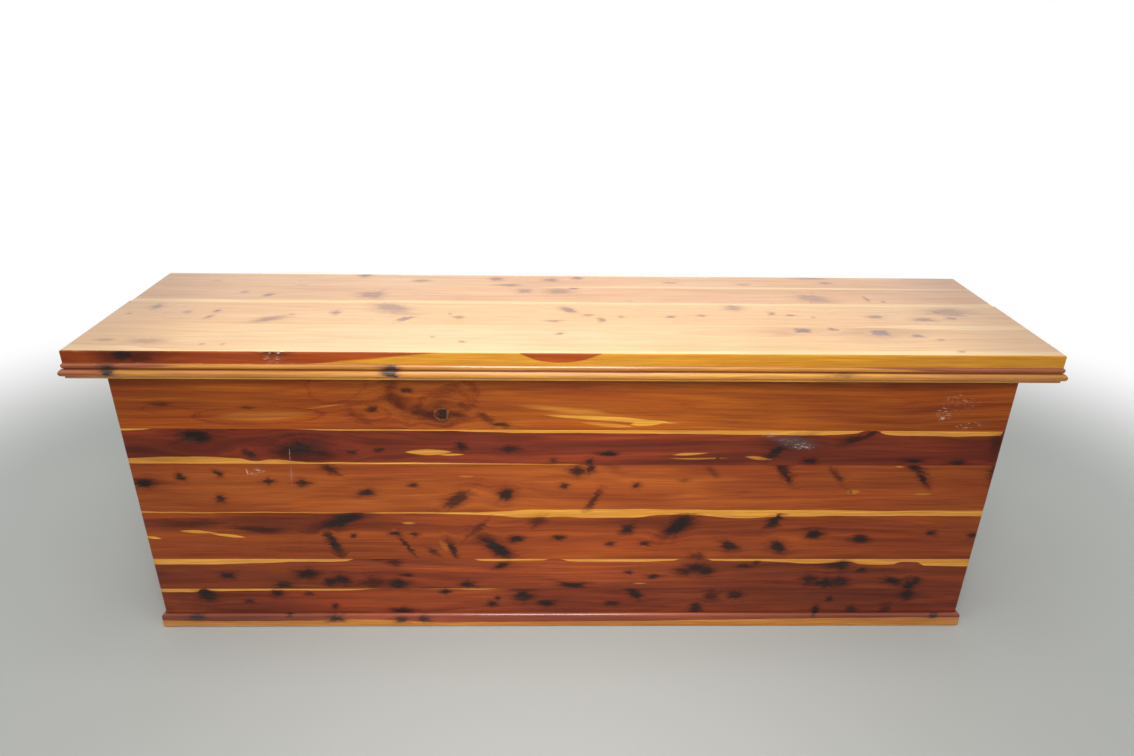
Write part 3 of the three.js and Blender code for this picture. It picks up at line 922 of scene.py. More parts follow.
# %% Plank 5, plum red
note(
    "front_plank_5",
    light=colour(140, 55, 24),
    dark=colour(84, 29, 16),
    knots=[
        Mark(x=191, y=437, long=33, high=15),
        Mark(x=189, y=437, long=44, high=19, depth=0.4, rim=0.95),
        Mark(x=176, y=452, long=110, high=15, depth=0.0, rim=0.45),
        Mark(x=330, y=448, long=90, high=22, depth=0.0, rim=0.35),
        Mark(x=227, y=428, long=7, high=4, depth=0.8),
        Mark(x=244, y=455, long=18, high=7, turn=-22, depth=0.8),
        Mark(x=294, y=449, long=28, high=14, depth=0.9),
        Mark(x=299, y=449, long=56, high=22, depth=0.5, rim=0.95),
        Mark(x=326, y=456, long=44, high=12, depth=0.0, rim=0.8),
        Mark(x=347, y=454, long=11, high=5, depth=0.8),
        Mark(x=374, y=452, long=11, high=4, depth=0.7),
        Mark(x=458, y=448, long=10, high=6, turn=-30, depth=0.85),
        Mark(x=508, y=451, long=12, high=5, depth=0.85),
        Mark(x=553, y=463, long=6, high=4, depth=0.7),
        Mark(x=590, y=464, long=8, high=5, depth=0.8),
        Mark(x=611, y=456, long=17, high=5, depth=0.95),
        Mark(x=723, y=460, long=4, high=3, depth=0.9, rim=0.4),
        Mark(x=781, y=454, long=16, high=7, turn=32, depth=0.95),
        Mark(x=799, y=444, long=34, high=11, turn=12, depth=0.25, rim=0.6),
        Mark(x=815, y=463, long=13, high=5, depth=0.9),
        Mark(x=860, y=441, long=24, high=6, turn=14, depth=0.7, rim=0.9),
        Mark(x=876, y=435, long=22, high=4, turn=28, depth=0.75, rim=0.9),
        Mark(x=919, y=462, long=15, high=4, depth=0.9),
        Mark(x=961, y=463, long=16, high=5, depth=0.9),
        Mark(x=998, y=446, long=10, high=16, depth=0.1, rim=0.7),
    ],
    flames=[
        Mark(x=424, y=454, long=54, high=7, turn=-1, depth=0.9, rim=0.4),
        Mark(x=448, y=457, long=30, high=3, depth=0.8, rim=0.5),
        Mark(x=695, y=456, long=44, high=3, turn=3, depth=0.7, rim=0.5),
        Mark(x=702, y=460.5, long=68, high=2.4, depth=0.6, rim=0.5),
        Mark(x=763, y=460, long=32, high=4.4, turn=-5, depth=0.75, rim=0.5),
    ],
    pale=[Mark(x=560, y=448, long=420, high=70, depth=0.25)],
    scratches=[Mark(x=284, y=455, long=16, high=1.0, turn=-86, depth=0.5, rim=0.6)],
    haze=[
        Mark(x=800, y=443, long=64, high=22, turn=-8, depth=0.16),
        Mark(x=778, y=436, long=30, high=12, depth=0.14),
    ],
    scuffs=[
        Mark(x=803, y=446, long=44, high=14, turn=-14, depth=0.4, rim=0.7),
        Mark(x=776, y=436, long=24, high=7, depth=0.35, rim=0.7),
    ],
    bands=[
        noted_band(
            plank=5,
            edge="top",
            y=430,
            x=(118, 142, 150, 268, 300, 440, 560, 700, 790, 860, 880, 890, 905, 990, 1008),
            wide=(2, 1.2, 0, 0, 1.2, 2, 3.2, 4, 5, 3.5, 0, 2.5, 4.5, 4.8, 3),
        ),
        noted_band(
            plank=5,
            edge="bottom",
            y=466,
            x=(122, 180, 235, 252, 262, 310, 345, 400, 470, 560, 590, 1008),
            wide=(6, 7, 5.6, 2.6, 4.4, 1.5, 2.2, 2, 1.2, 0.8, 0, 0),
        ),
    ],
)

# %% Plank 4
note(
    "front_plank_4",
    light=colour(171, 86, 27),
    dark=colour(120, 50, 15),
    knots=[
        Mark(x=142, y=484, long=20, high=8, depth=0.95),
        Mark(x=177, y=478, long=11, high=6, turn=-28, depth=0.85),
        Mark(x=214, y=475, long=9, high=5, turn=-32, depth=0.75),
        Mark(x=263, y=483, long=12, high=5, depth=0.75),
        Mark(x=297, y=485, long=17, high=6, depth=0.75),
        Mark(x=216, y=500, long=9, high=7, depth=0.8),
        Mark(x=324, y=471, long=18, high=6, turn=-28, depth=0.35),
        Mark(x=362, y=495, long=14, high=7, turn=8, depth=0.85),
        Mark(x=409, y=488, long=9, high=4, depth=0.65),
        Mark(x=454, y=503, long=28, high=13, turn=36, depth=0.7, rim=0.9),
        Mark(x=504, y=498, long=17, high=12, turn=32, depth=0.9),
        Mark(x=564, y=489, long=9, high=5, depth=0.8),
        Mark(x=578, y=474, long=15, high=9, depth=0.7),
        Mark(x=591, y=471, long=8, high=9, depth=0.8),
        Mark(x=614, y=470, long=18, high=6, turn=-20, depth=0.0, rim=0.7),
        Mark(x=593, y=505, long=22, high=5, turn=54, depth=0.45),
        Mark(x=638, y=489, long=10, high=5, depth=0.8),
        Mark(x=688, y=483, long=9, high=3, depth=0.2, rim=0.7),
        Mark(x=716, y=474, long=10, high=5, turn=-40, depth=0.1, rim=0.6),
        Mark(x=788, y=472, long=20, high=8, turn=-56, depth=0.75),
        Mark(x=792, y=480, long=10, high=4, turn=-64, depth=0.85),
        Mark(x=786, y=467, long=20, high=4, turn=-8, depth=0.35),
        Mark(x=842, y=477, long=16, high=5, turn=-52, depth=0.25, rim=0.8),
        Mark(x=920, y=470, long=18, high=6, turn=-24, depth=0.85),
        Mark(x=927, y=480, long=15, high=5, turn=-58, depth=0.9),
        Mark(x=856, y=494, long=3, high=3, depth=0.8, rim=0.4),
        Mark(x=996, y=472, long=10, high=14, depth=0.45, rim=0.8),
    ],
    flames=[
        Mark(x=462, y=479, long=20, high=3, depth=0.3, rim=0.6),
        Mark(x=856, y=494, long=16, high=6, depth=0.35, rim=0.6),
        Mark(x=927, y=495, long=22, high=3, depth=0.35, rim=0.6),
        Mark(x=904, y=468, long=10, high=2, depth=0.7, rim=0.6),
    ],
    pale=[Mark(x=590, y=490, long=620, high=130, depth=0.25)],
    arches=[Mark(x=620, y=496, long=250, high=14, depth=0.35, rim=0.12)],
    scratches=[
        Mark(x=286, y=478, long=26, high=1.0, turn=-86, depth=0.3, rim=0.6),
        Mark(x=242, y=473, long=9, high=1.6, turn=-70, depth=0.9, rim=0.5),
        Mark(x=255, y=472, long=12, high=1.4, turn=-10, depth=0.7, rim=0.5),
    ],
    haze=[Mark(x=286, y=476, long=8, high=18, depth=0.1)],
    scuffs=[Mark(x=250, y=474, long=30, high=12, depth=0.4, rim=0.7)],
    bands=[
        noted_band(
            plank=4,
            edge="bottom",
            y=514,
            x=(140, 460, 500, 540, 620, 800, 900, 985),
            wide=(1, 0.8, 1.6, 3.6, 4, 3.2, 2.8, 3),
        ),
    ],
)

# %% Plank 3
note(
    "front_plank_3",
    light=colour(160, 74, 22),
    dark=colour(101, 38, 13),
    knots=[
        Mark(x=186, y=525, long=46, high=7, depth=0.1, rim=0.75),
        Mark(x=256, y=532, long=38, high=5, turn=-5, depth=0.45, rim=0.85),
        Mark(x=340, y=522, long=44, high=11, turn=18),
        Mark(x=329, y=546, long=30, high=8, turn=-56, depth=0.85),
        Mark(x=349, y=539, long=5, high=4, depth=0.8),
        Mark(x=391, y=537, long=13, high=4, depth=0.85),
        Mark(x=411, y=538, long=9, high=4, depth=0.75),
        Mark(x=405, y=551, long=24, high=3, turn=-50, depth=0.5),
        Mark(x=431, y=556, long=12, high=4, turn=-30, depth=0.4),
        Mark(x=450, y=554, long=19, high=5, turn=-62, depth=0.85),
        Mark(x=475, y=533, long=20, high=5, turn=42, depth=0.15, rim=0.8),
        Mark(x=496, y=553, long=34, high=12, turn=-34),
        Mark(x=515, y=543, long=12, high=6, turn=8, depth=0.9),
        Mark(x=537, y=525, long=14, high=7, turn=20, depth=0.15, rim=0.8),
        Mark(x=559, y=542, long=11, high=4, depth=0.85),
        Mark(x=629, y=533, long=13, high=8, turn=34, depth=0.9),
        Mark(x=611, y=548, long=8, high=4, depth=0.85),
        Mark(x=647, y=548, long=10, high=4, depth=0.9),
        Mark(x=681, y=529, long=34, high=14, turn=36),
        Mark(x=733, y=549, long=16, high=9, turn=-22, depth=0.9),
        Mark(x=779, y=524, long=19, high=8, turn=46, depth=0.95),
        Mark(x=782, y=550, long=17, high=10, turn=-28, depth=0.95),
        Mark(x=819, y=537, long=16, high=8, depth=0.95),
        Mark(x=864, y=541, long=15, high=8, depth=0.9),
        Mark(x=933, y=534, long=9, high=4, depth=0.8),
        Mark(x=973, y=536, long=8, high=4, depth=0.75),
        Mark(x=700, y=560, long=12, high=7, depth=0.4, rim=0.9),
    ],
    flames=[
        Mark(x=196, y=533, long=40, high=3.4, turn=-3, depth=0.9, rim=0.4),
        Mark(x=225, y=537, long=38, high=3.4, turn=-8, depth=0.95, rim=0.4),
        Mark(x=153, y=538, long=24, high=3, turn=-8, depth=0.9, rim=0.4),
        Mark(x=403, y=527, long=15, high=2.6, depth=0.8, rim=0.5),
        Mark(x=440, y=550, long=10, high=14, turn=20, depth=0.2, rim=0.5),
    ],
    pale=[Mark(x=520, y=540, long=560, high=120, depth=0.42)],
    bands=[
        noted_band(
            plank=3,
            edge="top",
            y=516,
            x=(140, 380, 470, 500, 525, 560, 590, 640, 668, 700, 745, 790, 870, 985),
            wide=(0.8, 1, 1.8, 3.6, 4.6, 4.4, 5.4, 4.8, 2, 2.2, 5, 3.6, 3, 2.6),
        ),
    ],
)

# %% Plank 2
note(
    "front_plank_2",
    light=colour(148, 64, 24),
    dark=colour(92, 36, 16),
    knots=[
        Mark(x=226, y=577, long=14, high=6, depth=0.85),
        Mark(x=303, y=577, long=24, high=8, depth=0.85),
        Mark(x=281, y=587, long=15, high=5, depth=0.8),
        Mark(x=327, y=585, long=13, high=6, depth=0.85),
        Mark(x=338, y=583, long=18, high=9, turn=-12, depth=0.9),
        Mark(x=370, y=586, long=20, high=9, depth=0.3, rim=0.8),
        Mark(x=395, y=588, long=19, high=8, depth=0.9),
        Mark(x=383, y=562, long=26, high=3, depth=0.6),
        Mark(x=391, y=566, long=12, high=6, depth=0.3, rim=0.8),
        Mark(x=404, y=579, long=9, high=3, depth=0.5),
        Mark(x=465, y=589, long=12, high=5, depth=0.85),
        Mark(x=500, y=570, long=11, high=5, turn=18, depth=0.75),
        Mark(x=573, y=590, long=24, high=6, turn=-3, depth=0.85),
        Mark(x=630, y=577, long=7, high=3, depth=0.6),
        Mark(x=655, y=581, long=12, high=4, depth=0.85),
        Mark(x=700, y=560, long=12, high=7, depth=0.4, rim=0.9),
        Mark(x=698, y=572, long=14, high=9, depth=0.85),
        Mark(x=708, y=575, long=14, high=7, depth=0.75),
        Mark(x=687, y=576, long=16, high=6, depth=0.35, rim=0.9),
        Mark(x=747, y=570, long=10, high=3, depth=0.6),
        Mark(x=760, y=566, long=6, high=3, depth=0.7),
        Mark(x=844, y=568, long=20, high=7, depth=0.8),
        Mark(x=864, y=572, long=8, high=4, depth=0.7),
        Mark(x=828, y=586, long=18, high=8, depth=0.95),
        Mark(x=842, y=584, long=15, high=8, depth=0.85),
        Mark(x=813, y=582, long=13, high=8, depth=0.6),
        Mark(x=895, y=583, long=14, high=6, turn=-14, depth=0.8),
        Mark(x=909, y=590, long=9, high=15, depth=0.9),
        Mark(x=916, y=583, long=10, high=6, turn=30, depth=0.8),
    ],
    flames=[
        Mark(x=643, y=588, long=15, high=1.8, depth=0.6, rim=0.6),
        Mark(x=866, y=592, long=26, high=1.8, depth=0.45, rim=0.6),
    ],
    pale=[Mark(x=520, y=577, long=500, high=90)],
    bands=[
        noted_band(
            plank=2,
            edge="top",
            y=563,
            x=(
                150, 230, 300, 340, 348, 470, 478, 540, 552, 561, 570, 600, 676, 684, 710,
                716, 760, 790, 820, 846, 862, 896, 903, 918, 927, 975,
            ),
            wide=(
                5.6, 5.2, 3, 2.2, 0, 0, 2.2, 1.8, 0.2, 0.4, 2.4, 3, 1.8, 0, 0, 1.6, 2.4, 3.6,
                4.6, 2.8, 4.8, 5.8, 3.2, 3.2, 6.8, 7.4,
            ),
        ),
    ],
)

# %% Plank 1, at the floor
note(
    "front_plank_1",
    light=colour(136, 57, 22),
    dark=colour(84, 31, 15),
    knots=[
        Mark(x=206, y=596, long=16, high=9, turn=-24),
        Mark(x=248, y=603, long=8, high=4, depth=0.85),
        Mark(x=275, y=596, long=10, high=7, depth=0.9),
        Mark(x=306, y=597, long=8, high=4, depth=0.5),
        Mark(x=332, y=609, long=6, high=5, depth=0.85),
        Mark(x=400, y=615, long=18, high=6, depth=0.85),
        Mark(x=443, y=596, long=9, high=5, depth=0.85),
        Mark(x=491, y=609, long=9, high=5, depth=0.8),
        Mark(x=496, y=603, long=6, high=3, depth=0.7),
        Mark(x=522, y=601, long=16, high=8, depth=0.95),
        Mark(x=522, y=595, long=22, high=4, depth=0.2, rim=0.8),
        Mark(x=546, y=608, long=14, high=5, depth=0.95),
        Mark(x=613, y=608, long=11, high=4, depth=0.85),
        Mark(x=636, y=598, long=12, high=8, turn=-42, depth=0.95),
        Mark(x=698, y=612, long=9, high=10, depth=0.85),
        Mark(x=714, y=600, long=14, high=9, depth=0.45),
        Mark(x=738, y=599, long=11, high=8, depth=0.75),
        Mark(x=818, y=612, long=6, high=8, depth=0.85),
        Mark(x=832, y=602, long=6, high=4, depth=0.7),
        Mark(x=853, y=611, long=9, high=5, depth=0.9),
        Mark(x=887, y=611, long=8, high=9, depth=0.5),
        Mark(x=909, y=595, long=9, high=9, depth=0.7),
    ],
    pale=[Mark(x=480, y=604, long=560, high=110)],
    bands=[
        noted_band(
            plank=1,
            edge="top",
            y=592,
            x=(160, 196, 202, 214, 300, 352, 372, 480, 520, 960),
            wide=(3.4, 3.4, 0.6, 2.4, 1.8, 1.4, 0.7, 0.7, 0, 0),
        ),
    ],
)

# %% [markdown]
# The inner face of the front was left bare. The varnish ends in a thin skin behind it, so
# the recipe is told at which depth the bare wood starts and at which it is complete.

# %% Dress the front planks
FRONT_PLANKS = [f"front_plank_{number}" for number in (6, 5, 4, 3, 2, 1)]
FRONT_SEED = 100
BODY_BOX = (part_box("front_plank_1")[0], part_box("back_plank_5")[1])
FRONT_LOOK = {"worn_box": BODY_BOX, "fleck": 260.0}
RAW_DEPTH = 0.0012
RAW_SKIN = 0.0002
for number, piece in enumerate(FRONT_PLANKS):
    look = {**FRONT_LOOK, **placed(NOTES[piece], ON_FRONT, "xyz")}
    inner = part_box(piece)[1].y
    look["raw_from"], look["raw_to"] = inner - RAW_DEPTH, inner - RAW_SKIN
    dress_in_cedar(piece, "xyz", FRONT_SEED + number, look)
print("front planks dressed:", len(FRONT_PLANKS))

# %% [markdown]
# ## The lid
# The lid is the same cedar, bleached by years of light and seen through a hazy varnish, so
# its heartwood is a pale peach and its knots are only grey shadows. Part of that paleness is
# painted light: the brighter light and the glare that fall on the top are painted into its
# colours, and its pale marks lighten it where more light fell. Its boards run the same way
# as the front, so board space swaps height and depth. Its bands of sapwood are drawn as
# pairs of a share of the plank's length and a width in metres.

# %% Lid plank 4
note(
    "lid_plank_4",
    light=colour(225, 178, 132),
    dark=colour(208, 157, 111),
    knots=[
        Mark(x=214, y=280, long=9, high=1.6, depth=0.2, rim=0.5),
        Mark(x=297, y=284, long=12, high=1.6, depth=0.2, rim=0.5),
        Mark(x=362, y=274, long=10, high=2.6, depth=0.9),
        Mark(x=418, y=279, long=13, high=2, depth=0.4),
        Mark(x=495, y=277, long=14, high=2.6, depth=0.7),
        Mark(x=508, y=283, long=18, high=2, depth=0.5),
        Mark(x=550, y=278, long=13, high=2.6, depth=0.75),
        Mark(x=578, y=276, long=8, high=2.6, depth=0.8),
        Mark(x=672, y=281, long=12, high=2, depth=0.5),
        Mark(x=747, y=283, long=10, high=1.6, depth=0.3),
        Mark(x=814, y=277, long=22, high=2.4, depth=0.2),
        Mark(x=828, y=282, long=9, high=2.2, depth=0.6),
    ],
    pale=[Mark(x=370, y=281, long=420, high=40, depth=0.5)],
    bands=[
        ("bottom", [(0, 0), (0.45, 0), (0.52, 0.008), (0.9, 0.01), (1, 0.006)]),
        ("top", [(0, 0.012), (0.5, 0.008), (1, 0.004)]),
    ],
)

# %% Lid plank 3
note(
    "lid_plank_3",
    light=colour(223, 174, 127),
    dark=colour(206, 154, 108),
    knots=[
        Mark(x=241, y=291, long=6, high=1.6, depth=0.4),
        Mark(x=263, y=294, long=8, high=2.2, turn=14, depth=0.75),
        Mark(x=369, y=293, long=22, high=6, depth=0.55),
        Mark(x=523, y=289, long=15, high=3, depth=0.65),
        Mark(x=558, y=289, long=22, high=5, depth=0.5),
        Mark(x=573, y=286, long=11, high=3, turn=-8, depth=0.8),
        Mark(x=816, y=297, long=28, high=6, turn=-6, depth=0.5),
        Mark(x=870, y=298, long=8, high=2, turn=-38, depth=0.8),
        Mark(x=887, y=301, long=4, high=1.4, depth=0.7),
    ],
    pale=[Mark(x=330, y=293, long=340, high=50, depth=0.7)],
    bands=[
        ("bottom", [(0, 0.012), (0.4, 0.01), (0.7, 0.006), (1, 0.012)]),
    ],
)

# %% Lid plank 2
note(
    "lid_plank_2",
    light=colour(229, 183, 131),
    dark=colour(215, 166, 113),
    knots=[
        Mark(x=128, y=313, long=4, high=1.6, depth=0.6),
        Mark(x=155, y=306, long=10, high=4.4, depth=0.7),
        Mark(x=184, y=311, long=7, high=2, depth=0.4),
        Mark(x=213, y=310, long=5, high=2.6, depth=0.7),
        Mark(x=204, y=316, long=9, high=1.6, turn=18, depth=0.8),
        Mark(x=262, y=318, long=30, high=3.4, turn=10, depth=0.5),
        Mark(x=287, y=313, long=4, high=1.4, depth=0.5),
        Mark(x=331, y=311, long=8, high=4, depth=0.5),
        Mark(x=388, y=306, long=38, high=8, turn=-14, depth=0.5),
        Mark(x=400, y=317, long=16, high=3, turn=14, depth=0.75),
        Mark(x=447, y=312, long=4, high=1.6, depth=0.4),
        Mark(x=455, y=315, long=7, high=3, depth=0.5),
        Mark(x=569, y=308, long=15, high=4.4, turn=-20, depth=0.75),
        Mark(x=554, y=319, long=13, high=2, depth=0.65),
        Mark(x=589, y=313, long=10, high=1.8, depth=0.4),
        Mark(x=602, y=318, long=6, high=4, depth=0.75),
        Mark(x=623, y=315, long=5, high=1.6, depth=0.4),
        Mark(x=673, y=315, long=8, high=2, depth=0.7),
        Mark(x=705, y=314, long=7, high=2, depth=0.6),
        Mark(x=737, y=306, long=16, high=5, turn=-10, depth=0.5),
        Mark(x=776, y=312, long=7, high=2.6, depth=0.7),
        Mark(x=795, y=314, long=7, high=2, depth=0.6),
        Mark(x=818, y=316, long=4, high=1.4, depth=0.5),
        Mark(x=880, y=316, long=14, high=2.8, depth=0.8),
        Mark(x=927, y=319, long=18, high=3.4, depth=0.75),
        Mark(x=940, y=312, long=9, high=3, turn=-20, depth=0.8),
        Mark(x=951, y=312, long=34, high=6, depth=0.4),
        Mark(x=954, y=318, long=9, high=2.2, depth=0.75),
    ],
    pale=[Mark(x=330, y=316, long=320, high=60, depth=0.5)],
    bands=[
        ("top", [(0, 0.008), (0.5, 0.006), (1, 0.01)]),
        ("bottom", [(0, 0), (0.5, 0), (0.55, 0.003), (0.8, 0.004), (0.88, 0.012), (1, 0.014)]),
    ],
)

# %% Lid plank 1
note(
    "lid_plank_1",
    light=colour(228, 184, 131),
    dark=colour(216, 169, 116),
    knots=[
        Mark(x=104, y=339, long=12, high=2.4, depth=0.3),
        Mark(x=144, y=340, long=28, high=4, depth=0.25),
        Mark(x=196, y=343, long=4, high=1.4, depth=0.5),
        Mark(x=217, y=343, long=4, high=1.4, depth=0.5),
        Mark(x=428, y=335, long=5, high=1.4, depth=0.6),
        Mark(x=458, y=340, long=5, high=1.8, depth=0.5),
        Mark(x=560, y=332, long=6, high=2, depth=0.7),
        Mark(x=808, y=329, long=18, high=5, depth=0.95),
        Mark(x=808, y=328, long=56, high=9, depth=0.0, rim=0.8),
        Mark(x=838, y=328, long=10, high=3.2, depth=0.75),
        Mark(x=886, y=332, long=21, high=6, depth=0.95),
        Mark(x=884, y=332, long=72, high=11, depth=0.0, rim=0.8),
        Mark(x=922, y=335, long=12, high=3.4, depth=0.85),
        Mark(x=945, y=339, long=6, high=1.6, depth=0.6),
        Mark(x=966, y=351, long=7, high=2, depth=0.6),
    ],
    pale=[Mark(x=400, y=338, long=640, high=90)],
    scuffs=[
        Mark(x=264, y=347, long=28, high=3.4, depth=0.9, rim=0.6),
        Mark(x=156, y=306, long=8, high=2, depth=0.3, rim=0.6),
    ],
    bands=[
        ("top", [(0, 0), (0.8, 0), (0.88, 0.008), (1, 0.01)]),
        ("bottom", [(0, 0.03), (0.06, 0.026), (0.12, 0.006), (0.4, 0.01), (0.7, 0.016), (1, 0.02)]),
    ],
)

# %% [markdown]
# The front edge of the lid shows other wood than its top: golden sapwood with a long and a
# short flame of red heartwood, one black knot near the left end, and a chipped place. Its
# look swaps the two kinds of wood, so here the flames are red.

# %% Dress the lid planks
LID_PLANKS = [f"lid_plank_{number}" for number in (4, 3, 2, 1)]
LID_SEED = 200
lid_low, lid_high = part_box("lid_plank_1")
LID_BOX = (lid_low, Vector((lid_high.x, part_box("lid_plank_4")[1].y, lid_high.z)))
# The lid's pale colours are partly painted light: the brighter light and glare on the top are
# painted into them.
LID_LOOK = {
    "sap": colour(238, 200, 146),
    "sap_dark": colour(231, 190, 135),
    "knot": colour(128, 98, 90),
    "knot_light": colour(158, 122, 108),
    "stain_tint": (0.67, 0.59, 0.6, 1.0),
    "pale_tint": (1.0, 1.11, 1.26, 1.0),
    # painted shade on the lid's last part towards both ends
    "aged": 1.0,
    "fibre": 0.55,
    "blush": 0.14,
    "ring_depth": 0.22,
    "end_reach": 0.005,
    "worn_box": LID_BOX,
    "wear": 0.004,
    "coat": 0.4,
    "gloss": 0.35,
}
EDGE_NOTES = {
    "light": colour(210, 148, 42),
    "dark": colour(190, 126, 34),
    "sap": colour(172, 76, 22),
    "sap_dark": colour(124, 48, 14),
    "pith": (-0.1, 0.7),
    "blush": 0.15,
    "ring_depth": 0.15,
    "fleck": 300.0,
    "knots": [
        Mark(x=118, y=354, long=26, high=11, depth=0.95),
        Mark(x=120, y=354, long=60, high=14, depth=0.2, rim=0.9),
        Mark(x=84, y=355, long=90, high=20, depth=0.0, rim=0.4),
        Mark(x=266, y=351, long=22, high=5, depth=0.45),
    ],
    "flames": [
        Mark(x=59, y=350, long=790, high=46, rim=0.1),
        Mark(x=562, y=350, long=96, high=26, rim=0.12),
    ],
    "scuffs": [
        Mark(x=260, y=351, long=16, high=8, rim=0.7),
        Mark(x=273, y=351, long=14, high=7, depth=0.95, rim=0.7),
        Mark(x=266, y=358, long=28, high=12, depth=0.5, rim=0.8),
    ],
}
for number, piece in enumerate(LID_PLANKS):
    look = {**LID_LOOK, **placed(NOTES[piece], ON_LID, "xzy")}
    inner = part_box(piece)[0].z
    look["raw_from"], look["raw_to"] = inner + RAW_DEPTH, inner + RAW_SKIN
    if piece == "lid_plank_1":
        look["edge_look"] = placed(EDGE_NOTES, ON_LID_EDGE, "xyz")
    dress_in_cedar(piece, "xzy", LID_SEED + number, look)
print("lid planks dressed:", len(LID_PLANKS))

# %% [markdown]
# ## The mouldings
# The moulding under the lid was run from golden sapwood, with two black knots in front and
# a redder length at each end of its upper bead. The groove between its beads, the quirk, is
# darkened with painted shade as well as old dirt. The foot moulding is half and half: red
# heartwood above, sapwood below.
# Side lengths run front to back, so their board space starts with y.

# %% Looks of the mouldings
LID_MOULDING_LOOK = {
    "light": colour(208, 146, 54),
    "dark": colour(172, 106, 34),
    "sap": colour(168, 90, 44),
    "sap_dark": colour(134, 64, 34),
    "rings": 0.004,
    "ring_depth": 0.35,
    "blush": 0.1,
    "coat": 0.9,
    # the quirk's darker line is painted shade along with old dirt
    "quirk_shade_share": 0.661,
    "quirk_shade_from": 0.0005,
    "quirk_shade_reach": 0.0022,
}
LID_MOULDING_NOTES = {
    "knots": [
        Mark(x=104, y=371, long=12, high=13, depth=0.95),
        Mark(x=385, y=371, long=17, high=14, depth=0.9),
        Mark(x=850, y=375, long=24, high=3, depth=0.25, rim=0.6),
    ],
    "flames": [
        Mark(x=56, y=368, long=130, high=26, rim=0.4),
        Mark(x=56, y=366, long=240, high=12, rim=0.4),
        Mark(x=1062, y=367.5, long=390, high=14, rim=0.15),
        Mark(x=640, y=373, long=60, high=3, depth=0.4, rim=0.6),
    ],
}
LID_MOULDING_BAND = [(0, 0.01), (0.3, 0.004), (0.7, 0.006), (1, 0.002)]
BASE_BAND = [(0, 0.021), (0.12, 0.018), (0.25, 0.021), (0.35, 0.014), (0.5, 0.016)]
BASE_BAND += [(0.62, 0.018), (0.8, 0.023), (1, 0.026)]
BASE_MOULDING_LOOK = {
    "light": colour(148, 66, 30),
    "dark": colour(98, 38, 18),
    "sap": colour(202, 132, 46),
    "sap_dark": colour(172, 100, 34),
    "rings": 0.004,
    "coat": 0.7,
    "bands": [("bottom", BASE_BAND)],
}
BASE_MOULDING_NOTES = {
    "knots": [
        Mark(x=197, y=618, long=12, high=5, depth=0.85),
        Mark(x=286, y=617, long=5, high=5, depth=0.9),
        Mark(x=333, y=622, long=13, high=6, depth=0.85),
        Mark(x=399, y=624, long=14, high=5, depth=0.7),
        Mark(x=421, y=623, long=11, high=5, depth=0.85),
        Mark(x=817, y=617, long=4, high=4, depth=0.8),
        Mark(x=933, y=616, long=7, high=4, depth=0.85),
    ],
    # Painted light: the pale mark lightens the middle of the foot moulding, where the room's light
    # fell.
    "pale": [Mark(x=500, y=622, long=560, high=110, depth=0.8)],
}
print("colours and values of the lid moulding:", len(LID_MOULDING_LOOK))

# %% Dress the mouldings
KNOT_DRAWS = 10


def dress_mouldings(prefix, seed, look, noted, surface, side_look, knots, sizes):
    """Dresses three lengths. Marks are noted in front and drawn at random on the sides."""
    front = {**look, **placed(noted, surface, "xyz")}
    dress_in_cedar(prefix + "front", "xyz", seed, front)
    for number, side in enumerate(("left", "right"), start=1):
        piece = prefix + side
        marks = random_marks(seed + KNOT_DRAWS + number, "yxz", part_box(piece), knots, sizes)
        dress_in_cedar(piece, "yxz", seed + number, {**look, **side_look, "knots": marks})
    print("dressed:", prefix, "front, left, right")


dress_mouldings(
    "lid_moulding_",
    seed=300,
    look=LID_MOULDING_LOOK,
    noted=LID_MOULDING_NOTES,
    surface=ON_LID_MOULDING,
    side_look={"bands": [("top", LID_MOULDING_BAND)]},
    knots=2,
    sizes=(0.006, 0.01),
)
dress_mouldings(
    "base_moulding_",
    seed=320,
    look=BASE_MOULDING_LOOK,
    noted=BASE_MOULDING_NOTES,
    surface=ON_BASE_MOULDING,
    side_look={},
    knots=3,
    sizes=(0.004, 0.009),
)

# %% [markdown]
# ## The back and the ends
# The picture doesn't show these walls. They are the same knotty cedar, so their knots,
# tones and sapwood bands are drawn at random from fixed seeds, in the sizes that the front
# shows. Each wall's boards differ from their neighbours as glued-up planks do.

# %% Dress the back and the ends
WALL_BOARDS = 5
WALL_TONES = [
    (colour(172, 86, 25), colour(120, 50, 14)),
    (colour(136, 55, 21), colour(84, 30, 15)),
    (colour(160, 74, 22), colour(106, 41, 13)),
    (colour(142, 60, 20), colour(90, 34, 13)),
]
WALL_KNOT_SIZES = (0.005, 0.019)
BAND_STEPS = 5
BAND_WIDTH = 0.004
BAND_SPREAD = 0.006


def random_band(draw):
    """A band on one edge of a board, which swells and fades."""
    steps = range(BAND_STEPS + 1)
    points = [(s / BAND_STEPS, max(0, draw.gauss(BAND_WIDTH, BAND_SPREAD))) for s in steps]
    return draw.choice(("top", "bottom")), points


def dress_wall(prefix, order, seed, knots, inner, outward):
    """The boards of a wall. Inner is where they look inside, outward is 1 or -1."""
    draw = random.Random(seed)
    for number in range(1, WALL_BOARDS + 1):
        piece = prefix + str(number)
        light, dark = WALL_TONES[(number + seed) % len(WALL_TONES)]
        look = {"light": light, "dark": dark, "worn_box": BODY_BOX}
        marks = random_marks(seed + number, order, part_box(piece), knots, WALL_KNOT_SIZES)
        look["knots"], look["bands"] = marks, [random_band(draw)]
        look["raw_from"] = inner + outward * RAW_DEPTH
        look["raw_to"] = inner + outward * RAW_SKIN
        dress_in_cedar(piece, order, seed + number, look)
    print("dressed:", prefix, "1 to", WALL_BOARDS)


